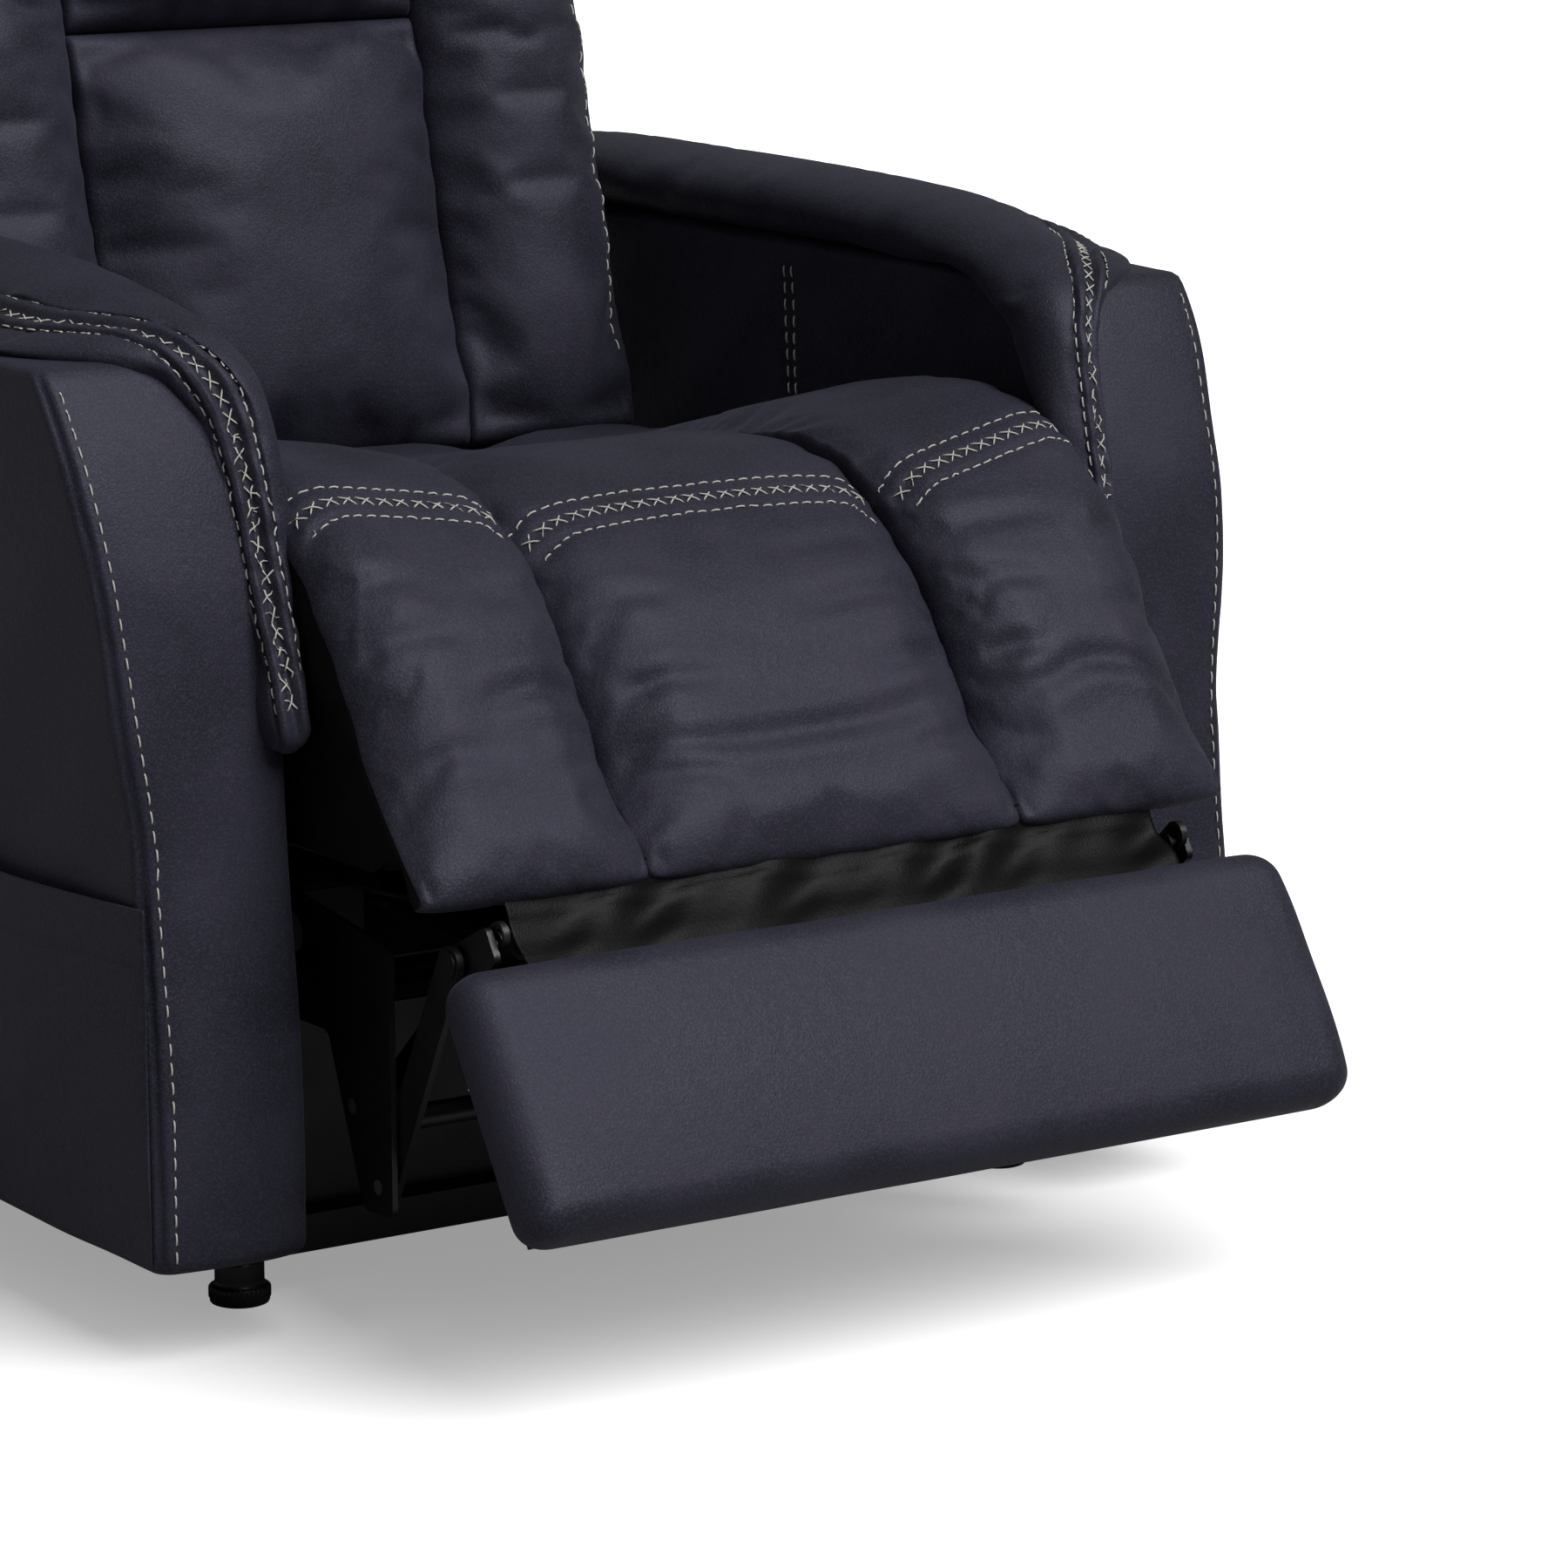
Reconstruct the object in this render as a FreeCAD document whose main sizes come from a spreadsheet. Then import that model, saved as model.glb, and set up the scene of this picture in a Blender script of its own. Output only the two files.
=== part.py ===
import FreeCAD, Part
import math
import os

# Lift recliner chair: floor base, lift linkage, recline linkage, upholstered seat, arms and back.
# Millimetres. +X is the sitter's left, -Y is the front, +Z is up, the floor is z = 0.
# In the sheet every "back" value is measured backwards from the front of the arms at floor level,
# every "side" value outwards from the middle of the chair, and every "high" value up from the floor.
# The chair is drawn with the lift down, the back upright and the footrest partly out.

doc = FreeCAD.newDocument("lift_recliner")
sheet = doc.addObject("Spreadsheet::Sheet", "sizes")
sheet.Label = "sizes"

SIZES = [
    ("origin_back", 303.0),
    # base frame of square tube, standing on levelling feet
    ("tube_side", 25.0),
    ("tube_wall", 2.0),
    ("rail_low", 29.0),
    ("rail_side", 304.5),
    ("rail_front_back", 103.0),
    ("rail_rear_back", 640.0),
    ("cap_thick", 3.0),
    ("foot_back", 115.5),
    ("foot_radius", 20.0),
    ("foot_disc", 9.0),
    ("stud_radius", 5.0),
    ("riser_half", 258.0),
    ("riser_high", 110.0),
    ("riser_horn", 262.0),
    ("riser_step_half", 122.0),
    ("riser_step_high", 180.0),
    ("riser_horn_wide", 58.0),
    ("rear_plate_high", 136.0),
    ("plate_thick", 4.0),
    ("ear_half", 16.0),
    ("ear_tie_tall", 22.0),
    # planes of the linkage, measured to the outer face of each plate
    ("base_plate_side", 292.0),
    ("front_link_side", 297.0),
    ("chassis_plate_side", 281.5),
    ("rear_link_side", 277.2),
    ("arm_link_side", 275.5),
    ("board_plate_side", 268.5),
    ("drag_link_side", 262.5),
    ("back_bracket_side", 259.0),
    ("back_strap_side", 254.5),
    ("link_thick", 4.5),
    ("link_half", 12.0),
    ("pin_radius", 5.0),
    ("pin_head", 9.0),
    ("head_thick", 1.5),
    ("collar_radius", 8.0),
    ("running_gap", 0.05),
    ("side_gap", 0.3),
    # lift linkage
    ("lift_rear_back", 180.0),
    ("lift_rear_high", 95.0),
    ("lift_front_back", 101.0),
    ("lift_front_high", 85.0),
    ("carry_rear_back", 514.8),
    ("carry_rear_high", 154.0),
    ("carry_front_back", 290.0),
    ("carry_front_high", 130.0),
    ("carry_front_slack", 2.6),
    ("link_tube_radius", 11.0),
    ("link_tube_along", 0.6),
    # footrest linkage
    ("leg_link_back", -25.0),
    ("leg_link_high", 105.0),
    ("knee_back", -103.5),
    ("knee_high", 262.9),
    ("drag_back", 5.7),
    ("drag_high", 150.8),
    ("drag_end_back", -131.2),
    ("drag_end_high", 278.8),
    ("drag_slot_back", 29.0),
    ("drag_slot_ahead", 11.5),
    ("drag_slot_slack", 2.1),
    ("drag_half", 8.9),
    ("slide_pin_radius", 4.0),
    ("leg_tube_radius", 8.0),
    ("leg_tube_back", -49.5),
    ("leg_tube_high", 154.2),
    # footrest board and pad
    ("board_tilt", 32.5),
    ("pad_middle_back", -219.0),
    ("pad_middle_high", 204.5),
    ("pad_half_width", 306.0),
    ("pad_half_length", 90.0),
    ("pad_thick", 46.0),
    ("pad_crown", 15.0),
    ("board_thick", 12.0),
    ("board_half_width", 286.0),
    ("board_half_length", 76.0),
    ("board_notch_side", 250.0),
    ("board_notch_long", 22.0),
    # chassis
    ("chassis_top", 300.0),
    ("chassis_front_back", -42.0),
    ("chassis_step_back", 92.0),
    ("chassis_rear_back", 560.0),
    ("push_tube_back", 300.0),
    ("push_tube_high", 240.0),
    ("push_tube_radius", 12.0),
    ("frame_board", 19.0),
    ("frame_side", 255.0),
    ("frame_deep", 38.0),
    ("frame_cross_deep", 24.0),
    ("frame_front_back", 2.0),
    ("strap_width", 50.0),
    ("strap_thick", 2.0),
    ("strap_count", 6),
    # actuators
    ("lift_clevis_back", 140.0),
    ("lift_clevis_high", 100.0),
    ("actuator_radius", 19.0),
    ("rod_radius", 9.0),
    ("motor_radius", 27.0),
    ("motor_long", 96.0),
    ("rod_eye_radius", 18.5),
    ("eye_wall", 6.5),
    ("rod_eye_thick", 18.0),
    ("lever_pin_radius", 6.0),
    ("leg_lever_slack", 7.6),
    ("back_lever_slack", 5.9),
    ("push_slack", 2.3),
    ("leg_actuator_side", 110.0),
    ("leg_lever_back", -13.5),
    ("leg_lever_high", 214.4),
    ("back_actuator_side", 110.0),
    ("back_lever_back", 650.0),
    ("back_lever_high", 313.4),
    # back
    ("hinge_back", 600.0),
    ("hinge_high", 400.0),
    ("back_lean", 14.5),
    ("back_face_back", 528.0),
    ("back_face_high", 492.0),
    ("back_half", 284.0),
    ("back_panel_half", 142.0),
    ("back_height", 612.0),
    ("back_pillow_high", 300.0),
    ("back_pad_thick", 122.0),
    ("back_shell_deep", 66.0),
    ("back_shell_wall", 9.0),
    ("back_shell_drop", 132.0),
    # seat
    ("seat_half", 308.0),
    ("seat_panel_half", 143.0),
    ("seat_rear_back", 560.0),
    ("seat_rear_high", 462.0),
    ("seat_crown_back", 30.0),
    ("seat_crown_high", 512.0),
    ("seat_nose_back", -139.0),
    ("seat_nose_high", 309.5),
    ("seat_round", 14.0),
    ("seat_lip", 9.0),
    ("seam_gap", 0.3),
    # arms
    ("arm_inner", 315.0),
    ("arm_outer", 424.0),
    ("arm_bottom", 61.0),
    ("arm_top", 622.0),
    ("arm_bend_high", 298.0),
    ("arm_bend_radius", 160.0),
    ("arm_lean", 20.0),
    ("arm_rear_back", 768.0),
    ("arm_round", 9.0),
    ("arm_pad_inner", 309.0),
    ("arm_pad_outer", 431.0),
    ("arm_pad_thick", 51.0),
    ("arm_pad_roll", 60.0),
    ("arm_fall_end", 400.0),
    # pocket and handset
    ("pocket_front_back", 6.0),
    ("pocket_long", 420.0),
    ("pocket_low", 160.0),
    ("pocket_high", 296.0),
    ("pocket_foot_high", 66.0),
    ("pocket_deep", 15.0),
    ("cloth", 2.0),
    ("handset_back", 300.0),
    ("handset_wide", 50.0),
    ("handset_long", 172.0),
    ("handset_deep", 12.0),
    ("button_wide", 16.0),
    ("button_tall", 13.0),
    ("button_proud", 1.6),
    ("button_travel", 1.0),
    # power box and its cable
    ("box_back", 366.0),
    ("box_high", 246.0),
    ("box_long", 92.0),
    ("box_wide", 60.0),
    ("box_tall", 42.0),
    ("cable_radius", 2.5),
    # panel that closes the chair behind, between the arms
    ("panel_low", 138.0),
    ("panel_high", 345.0),
    ("panel_thick", 12.0),
]

for row, (alias, value) in enumerate(SIZES, start=1):
    sheet.set("A%d" % row, alias)
    sheet.set("B%d" % row, str(round(value, 4)))
    sheet.setAlias("B%d" % row, alias)
doc.recompute()

SIDES = {"left": 1, "right": -1}
PARTS = []


def size(alias):
    return float(sheet.get(alias))


def named(alias):
    return "sizes." + alias


def spell(text):
    """Turns bare size names of an expression into cells of the sheet."""
    words = {alias for alias, _ in SIZES}
    out, word = "", ""
    for letter in text + " ":
        if letter.isalnum() or letter == "_":
            word += letter
            continue
        out += named(word) if word in words else word
        out += letter
        word = ""
    return out.strip()


def bind(thing, **formulas):
    for name, text in formulas.items():
        thing.setExpression(name.replace("__", "."), spell(text))
    return thing


def place(thing, x="0", back="0", high="0"):
    """Puts a piece at a side, back and high position; the frame's origin is origin_back behind y = 0."""
    bind(thing, Placement__Base__x=x, Placement__Base__y="(%s) - origin_back" % back, Placement__Base__z=high)
    return thing


def box(name, x, back, high, wide, deep, tall):
    """A box by its low corner and its three sizes."""
    block = doc.addObject("Part::Box", name)
    bind(block, Length=wide, Width=deep, Height=tall)
    return place(block, x, back, high)


def bar(name, x, back, high, radius, length):
    """A round bar along X that starts at x."""
    rod = doc.addObject("Part::Cylinder", name)
    rod.Placement.Rotation = FreeCAD.Rotation(FreeCAD.Vector(0, 1, 0), 90)
    bind(rod, Radius=radius, Height=length)
    return place(rod, x, back, high)


def post(name, x, back, high, radius, length):
    """A round post along Z that starts at high."""
    rod = doc.addObject("Part::Cylinder", name)
    bind(rod, Radius=radius, Height=length)
    return place(rod, x, back, high)


def side_bar(name, way, outer, inner, back, high, radius):
    """A bar across the linkage planes of one side, from the inner to the outer side value."""
    start = inner if way > 0 else "-(%s)" % outer
    return bar(name, start, back, high, radius, "(%s) - (%s)" % (outer, inner))


def side_plate_box(name, way, outer, thick, back, high, deep, tall):
    """A box standing in one linkage plane, whose outer face is at the side value."""
    start = "(%s) - (%s)" % (outer, thick) if way > 0 else "-(%s)" % outer
    return box(name, start, back, high, thick, deep, tall)


def join(name, pieces):
    fused = doc.addObject("Part::MultiFuse", name)
    fused.Shapes = pieces
    return fused


def group(name, pieces):
    """Separate solids that share one node."""
    bundle = doc.addObject("Part::Compound", name)
    bundle.Links = pieces
    return bundle


def less(name, base, tool):
    cut = doc.addObject("Part::Cut", name)
    cut.Base = base
    cut.Tool = tool
    return cut


def keep(piece, label):
    piece.Label = label
    PARTS.append(piece)
    return piece


def solid(label, shape):
    """A piece whose form is swept or lofted, drawn in chair coordinates and moved to the frame's origin."""
    piece = doc.addObject("Part::Feature", label)
    piece.Shape = shape
    move = FreeCAD.Placement(FreeCAD.Vector(0, -size("origin_back"), 0), FreeCAD.Rotation())
    piece.Placement = move.multiply(shape.Placement)
    return keep(piece, label)


def link(name, way, outer, thick, start, end, half, bores):
    """A flat link with round ends: start and end are (back, high) formulas, bores is (radius, radius)."""
    (back_a, high_a), (back_b, high_b) = start, end
    run = "sqrt(((%s) - (%s))^2 + ((%s) - (%s))^2)" % (back_b, back_a, high_b, high_a)
    low = "(%s) - (%s)" % (outer, thick)
    ends = [side_bar(name + "_end_%d" % i, way, outer, low, b, h, half) for i, (b, h) in enumerate((start, end))]
    web = doc.addObject("Part::Box", name + "_web")
    web.Placement.Rotation = FreeCAD.Rotation(FreeCAD.Vector(1, 0, 0), 10)
    bind(web, Length=thick, Width=run, Height="2 * (%s)" % half)
    slope = "atan2((%s) - (%s); (%s) - (%s))" % (high_b, high_a, back_b, back_a)
    bind(web, Placement__Rotation__Angle=slope)
    x = low if way > 0 else "-(%s)" % outer
    place(web, x, "(%s) + (%s) * sin(%s)" % (back_a, half, slope), "(%s) - (%s) * cos(%s)" % (high_a, half, slope))
    whole = join(name + "_blank", ends + [web])
    holes = [side_bar(name + "_bore_%d" % i, way, "(%s) + 1" % outer, "(%s) - 1" % low, b, h, radius)
             for i, ((b, h), radius) in enumerate(zip((start, end), bores)) if radius]
    if not holes:
        return whole
    return less(name, whole, join(name + "_holes", holes) if len(holes) > 1 else holes[0])


def vector(x, back, high):
    return FreeCAD.Vector(x, back, high)


def edges_of(x, steps):
    """A closed outline in the plane of one side value: steps are lists of (back, high) points.
    Two points are a line, three points an arc through the middle one."""
    edges = []
    for step in steps:
        points = [vector(x, back, high) for back, high in step]
        if len(points) == 2:
            edges.append(Part.makeLine(points[0], points[1]))
        else:
            edges.append(Part.Arc(points[0], points[1], points[2]).toShape())
    return Part.Wire(edges)


def loft(wires, ruled=False):
    return Part.makeLoft(wires, True, ruled)


def plate(outline, x, thick):
    """A flat plate from an outline of (back, high) steps; thick is along +X."""
    return Part.Face(edges_of(x, outline)).extrude(vector(thick, 0, 0))


def round_plate(points, x, thick, radius):
    """A flat plate from corner points, with every corner rounded."""
    corners = [vector(x, back, high) for back, high in points]
    flat = Part.Face(Part.makePolygon(corners + corners[:1]))
    block = flat.extrude(vector(thick, 0, 0))
    along = [e for e in block.Edges if abs(e.Vertexes[0].X - e.Vertexes[-1].X) > thick / 2]
    return block.makeFillet(radius, along)


# Floor base: four square tubes, with plastic caps in the ends of the side rails
def hollow_rail(name, x, back, wide, deep, along):
    outer = box(name + "_outer", x, back, "rail_low", wide, deep, "tube_side")
    if along == "x":
        inner = box(name + "_inner", "(%s) - 1" % x, "(%s) + tube_wall" % back, "rail_low + tube_wall",
                    "(%s) + 2" % wide, "(%s) - 2 * tube_wall" % deep, "tube_side - 2 * tube_wall")
    else:
        inner = box(name + "_inner", "(%s) + tube_wall" % x, "(%s) - 1" % back, "rail_low + tube_wall",
                    "(%s) - 2 * tube_wall" % wide, "(%s) + 2" % deep, "tube_side - 2 * tube_wall")
    return less(name, outer, inner)


RAIL_INNER = "(rail_side - tube_side / 2)"
keep(hollow_rail("front_rail_tube", "-" + RAIL_INNER, "rail_front_back", "2 * " + RAIL_INNER, "tube_side", "x"),
     "front_rail")
rear_tube = hollow_rail("rear_rail_tube", "-" + RAIL_INNER, "rail_rear_back - tube_side", "2 * " + RAIL_INNER,
                        "tube_side", "x")
rear_plate = box("rear_rail_plate", "-riser_half", "rail_rear_back - tube_side - plate_thick", "rail_low",
                 "2 * riser_half", "plate_thick", "rear_plate_high - rail_low")
keep(join("rear_rail_whole", [rear_tube, rear_plate]), "rear_rail")

PIVOT_EARS = [("rear", "lift_rear_back", "lift_rear_high"), ("front", "lift_front_back", "lift_front_high")]
for side, way in SIDES.items():
    start = RAIL_INNER if way > 0 else "-(rail_side + tube_side / 2)"
    rail = hollow_rail("side_rail_%s_tube" % side, start, "rail_front_back", "tube_side",
                       "rail_rear_back - rail_front_back", "y")
    ears = []
    above_rail = "(rail_low + tube_side + side_gap)"
    behind_rail = "(rail_front_back + tube_side + side_gap)"
    for end, back, high in PIVOT_EARS:
        ears.append(side_bar("ear_%s_%s" % (end, side), way, "base_plate_side", "base_plate_side - plate_thick",
                             back, high, "ear_half"))
    ears.append(side_plate_box("ear_front_web_" + side, way, "base_plate_side", "plate_thick",
                               "lift_front_back - ear_half", above_rail, "2 * ear_half",
                               "lift_front_high - %s" % above_rail))
    ears.append(side_plate_box("ear_rear_web_" + side, way, "base_plate_side", "plate_thick",
                               "lift_rear_back - ear_half", "rail_low + tube_wall", "2 * ear_half",
                               "lift_rear_high - rail_low - tube_wall"))
    ears.append(side_plate_box("ear_tie_" + side, way, "base_plate_side", "plate_thick", "lift_front_back",
                               above_rail, "lift_rear_back - lift_front_back", "ear_tie_tall"))
    ears.append(side_plate_box("ear_foot_" + side, way, "base_plate_side", "plate_thick", behind_rail,
                               "rail_low + tube_wall", "lift_rear_back - %s" % behind_rail, "tube_side"))
    blank = join("side_rail_blank_" + side, ears + [rail])
    bores = [side_bar("ear_bore_%s_%s" % (end, side), way, "base_plate_side + 1", "base_plate_side - plate_thick - 1",
                      back, high, "pin_radius + running_gap") for end, back, high in PIVOT_EARS]
    keep(less("side_rail_cut_" + side, blank, join("ear_bores_" + side, bores)), "side_rail_" + side)

caps = []
for side, way in SIDES.items():
    for end, back in (("front", "rail_front_back - cap_thick"), ("rear", "rail_rear_back")):
        x = RAIL_INNER if way > 0 else "-(rail_side + tube_side / 2)"
        caps.append(box("cap_%s_%s" % (end, side), x, back, "rail_low", "tube_side", "cap_thick", "tube_side"))
keep(group("cap_group", caps), "rail_end_caps")

# Levelling feet: a turned disc with a neck and a threaded stud that screws up into the side rail
feet = []
for side, way in SIDES.items():
    for end, back in (("front", "foot_back"), ("rear", "rail_rear_back - (foot_back - rail_front_back)")):
        x = "rail_side" if way > 0 else "-rail_side"
        name = "foot_%s_%s" % (end, side)
        disc = post(name + "_disc", x, back, "0", "foot_radius", "foot_disc")
        neck = doc.addObject("Part::Cone", name + "_neck")
        bind(neck, Radius1="foot_radius - 4", Radius2="stud_radius + 4", Height="5")
        place(neck, x, back, "foot_disc")
        stud = post(name + "_stud", x, back, "foot_disc", "stud_radius", "rail_low - foot_disc")
        nut = post(name + "_nut", x, back, "rail_low - 6", "stud_radius + 4.5", "6")
        feet.append(join(name, [disc, neck, stud, nut]))
keep(group("foot_group", feet), "levelling_feet")

# Riser plate on the front rail: raised and folded back at both ends, with a notch and two ears for the
# lift actuator
RISER_BACK = "(rail_front_back + tube_side)"
riser = box("riser_face", "-riser_half", RISER_BACK, "rail_low", "2 * riser_half", "plate_thick",
            "riser_high - rail_low")
horns = []
for side, way in SIDES.items():
    x = "riser_half - riser_horn_wide" if way > 0 else "-riser_half"
    horns.append(box("riser_horn_" + side, x, RISER_BACK, "rail_low", "riser_horn_wide", "plate_thick",
                     "riser_horn - rail_low"))
    x = "riser_step_half" if way > 0 else "-(riser_half - riser_horn_wide)"
    horns.append(box("riser_step_" + side, x, RISER_BACK, "rail_low", "riser_half - riser_horn_wide - riser_step_half",
                     "plate_thick", "riser_step_high - rail_low"))
    x = "riser_half - plate_thick" if way > 0 else "-riser_half"
    horns.append(box("riser_fold_" + side, x, RISER_BACK, "rail_low", "plate_thick", "20",
                     "riser_horn - rail_low - 4"))
    x = "actuator_radius + side_gap" if way > 0 else "-(actuator_radius + side_gap + plate_thick)"
    horns.append(box("riser_ear_" + side, x, RISER_BACK, "lift_clevis_high - 13", "plate_thick",
                     "lift_clevis_back - %s" % RISER_BACK, "26"))
    horns.append(bar("riser_ear_round_" + side, x, "lift_clevis_back", "lift_clevis_high", "13", "plate_thick"))
notch = box("riser_notch", "-(rod_eye_thick / 2 + 1)", "%s - 1" % RISER_BACK, "lift_clevis_high - 22",
            "rod_eye_thick + 2", "plate_thick + 2", "riser_high")
clevis_pin = bar("riser_pin", "-(actuator_radius + side_gap + plate_thick)", "lift_clevis_back", "lift_clevis_high",
                 "lever_pin_radius", "2 * (actuator_radius + side_gap + plate_thick)")
keep(join("riser_whole", [less("riser_notched", riser, notch), clevis_pin] + horns), "front_riser_plate")

# Pivot pins in the ears: the front one stands outwards, the rear one inwards past a collar
base_pins = []
EAR_INNER = "(base_plate_side - plate_thick)"
for side, way in SIDES.items():
    name = "base_pin_front_" + side
    spot = ("lift_front_back", "lift_front_high")
    reach = "(front_link_side + side_gap)"
    base_pins.append(join(name, [
        side_bar(name + "_shank", way, reach, EAR_INNER, *spot, "pin_radius"),
        side_bar(name + "_head", way, reach + " + head_thick", reach, *spot, "pin_head")]))
    name = "base_pin_rear_" + side
    spot = ("lift_rear_back", "lift_rear_high")
    reach = "(rear_link_side - link_thick - side_gap)"
    base_pins.append(join(name, [
        side_bar(name + "_shank", way, "base_plate_side", reach, *spot, "pin_radius"),
        side_bar(name + "_collar", way, EAR_INNER, "rear_link_side + side_gap", *spot, "collar_radius"),
        side_bar(name + "_head", way, reach, reach + " - head_thick", *spot, "pin_head")]))
keep(group("base_pin_group", base_pins), "base_pivot_pins")

# Lift links: the long rear pair carries the chair, the front pair sets its tilt
LOOSE = "pin_radius + running_gap"
for side, way in SIDES.items():
    rear = link("rear_lift_link_cut_" + side, way, "rear_link_side", "link_thick",
                ("lift_rear_back", "lift_rear_high"), ("carry_rear_back", "carry_rear_high"),
                "link_half + 2", (LOOSE, LOOSE))
    keep(rear, "rear_lift_link_" + side)
    front = link("front_lift_link_cut_" + side, way, "front_link_side", "link_thick",
                 ("lift_front_back", "lift_front_high"), ("carry_front_back", "carry_front_high"),
                 "link_half", (LOOSE, "pin_radius + carry_front_slack"))
    keep(front, "front_lift_link_" + side)

tube_back = "lift_rear_back + link_tube_along * (carry_rear_back - lift_rear_back)"
tube_high = "lift_rear_high + link_tube_along * (carry_rear_high - lift_rear_high)"
outer = bar("lift_tube_outer", "-(rear_link_side - link_thick)", tube_back, tube_high, "link_tube_radius",
            "2 * (rear_link_side - link_thick)")
inner = bar("lift_tube_inner", "-rear_link_side", tube_back, tube_high, "link_tube_radius - tube_wall",
            "2 * rear_link_side")
keep(less("lift_tube_cut", outer, inner), "lift_link_tube")

# Chassis: two pressed side plates with lobes at the pivots, a folded top flange and three cross tubes
for side, way in SIDES.items():
    x = size("chassis_plate_side") - size("plate_thick") if way > 0 else -size("chassis_plate_side")
    thick, top = size("plate_thick"), size("chassis_top")
    half = size("link_half") + 6
    leg, leg_high = size("leg_link_back"), size("leg_link_high")
    front, front_high = size("carry_front_back"), size("carry_front_high")
    rear, rear_high = size("carry_rear_back"), size("carry_rear_high")
    drop = rear_high + 46
    outline = [
        (leg - half, leg_high - half), (leg + half, leg_high - half), (leg + half + 42, drop - 6),
        (front - half - 20, drop - 6), (front - half, front_high - half), (front + half, front_high - half),
        (front + half + 18, drop), (rear - half - 16, drop), (rear - half, rear_high - half),
        (rear + half, rear_high - half), (size("chassis_rear_back"), drop), (size("chassis_rear_back"), top),
        (size("chassis_step_back") + 16, top), (size("chassis_step_back"), top - 21),
        (size("chassis_front_back"), top - 38),
    ]
    body = round_plate(outline, x, thick, 8)
    flange_x = size("frame_side") - size("frame_board") if way > 0 else -size("chassis_plate_side")
    flange_wide = size("chassis_plate_side") - size("frame_side") + size("frame_board")
    flange_start = size("chassis_step_back") + 24
    flange = Part.makeBox(flange_wide, size("chassis_rear_back") - flange_start, thick,
                          vector(flange_x, flange_start, top - thick))
    body = body.fuse(flange)
    for back, high, radius in (
        (leg, leg_high, size("pin_radius")), (size("drag_back"), size("drag_high"), size("pin_radius")),
        (front, front_high, size("pin_radius")), (rear, rear_high, size("pin_radius")),
        (size("push_tube_back"), size("push_tube_high"), size("push_tube_radius")),
    ):
        body = body.cut(Part.makeCylinder(radius, thick, vector(x, back, high), FreeCAD.Vector(1, 0, 0)))
    slots = [(90, 250), (170, 250), (390, 248), (470, 248)]
    for back, high in slots:
        body = body.cut(round_plate([(back - 24, high - 13), (back + 24, high - 13), (back + 24, high + 13),
                                     (back - 24, high + 13)], x, thick, 12))
    solid("chassis_plate_" + side, body.removeSplitter())

keep(bar("push_tube_bar", "-chassis_plate_side", "push_tube_back", "push_tube_high", "push_tube_radius",
         "2 * chassis_plate_side"), "push_tube")

# Pins of the chassis: each has a shank in its plate, a head beyond the link and a collar where the link stands off
PLATE_INNER = "(chassis_plate_side - plate_thick)"
chassis_pins = []
bushes = []
for side, way in SIDES.items():
    for name, back, high, outer_side, link_side in (
        ("leg", "leg_link_back", "leg_link_high", "chassis_plate_side", "arm_link_side"),
        ("drag", "drag_back", "drag_high", "chassis_plate_side", "drag_link_side"),
        ("carry_rear", "carry_rear_back", "carry_rear_high", "chassis_plate_side", "rear_link_side"),
        ("recline", "hinge_back", "hinge_high", "back_bracket_side", "back_strap_side"),
    ):
        label = "pin_%s_%s" % (name, side)
        reach = "(%s - link_thick - side_gap)" % link_side
        chassis_pins.append(join(label, [
            side_bar(label + "_shank", way, outer_side, reach, back, high, "pin_radius"),
            side_bar(label + "_head", way, reach, reach + " - head_thick", back, high, "pin_head")]))
    label = "pin_carry_front_" + side
    spot = ("carry_front_back", "carry_front_high")
    reach = "(front_link_side + side_gap)"
    chassis_pins.append(join(label, [
        side_bar(label + "_shank", way, reach, PLATE_INNER, *spot, "pin_radius"),
        side_bar(label + "_collar", way, "front_link_side - link_thick - side_gap", "chassis_plate_side", *spot,
                 "collar_radius"),
        side_bar(label + "_head", way, reach + " + head_thick", reach, *spot, "pin_head + 2")]))
    ring = side_bar("bush_outer_" + side, way, "chassis_plate_side - plate_thick", "drag_link_side + side_gap",
                    "drag_back", "drag_high", "pin_radius + 6")
    bore = side_bar("bush_bore_" + side, way, "chassis_plate_side", "drag_link_side", "drag_back", "drag_high",
                    "pin_radius")
    bushes.append(less("bush_" + side, ring, bore))
keep(group("chassis_pin_group", chassis_pins), "chassis_pivot_pins")
keep(group("bush_group", bushes), "nylon_bushes")

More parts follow.
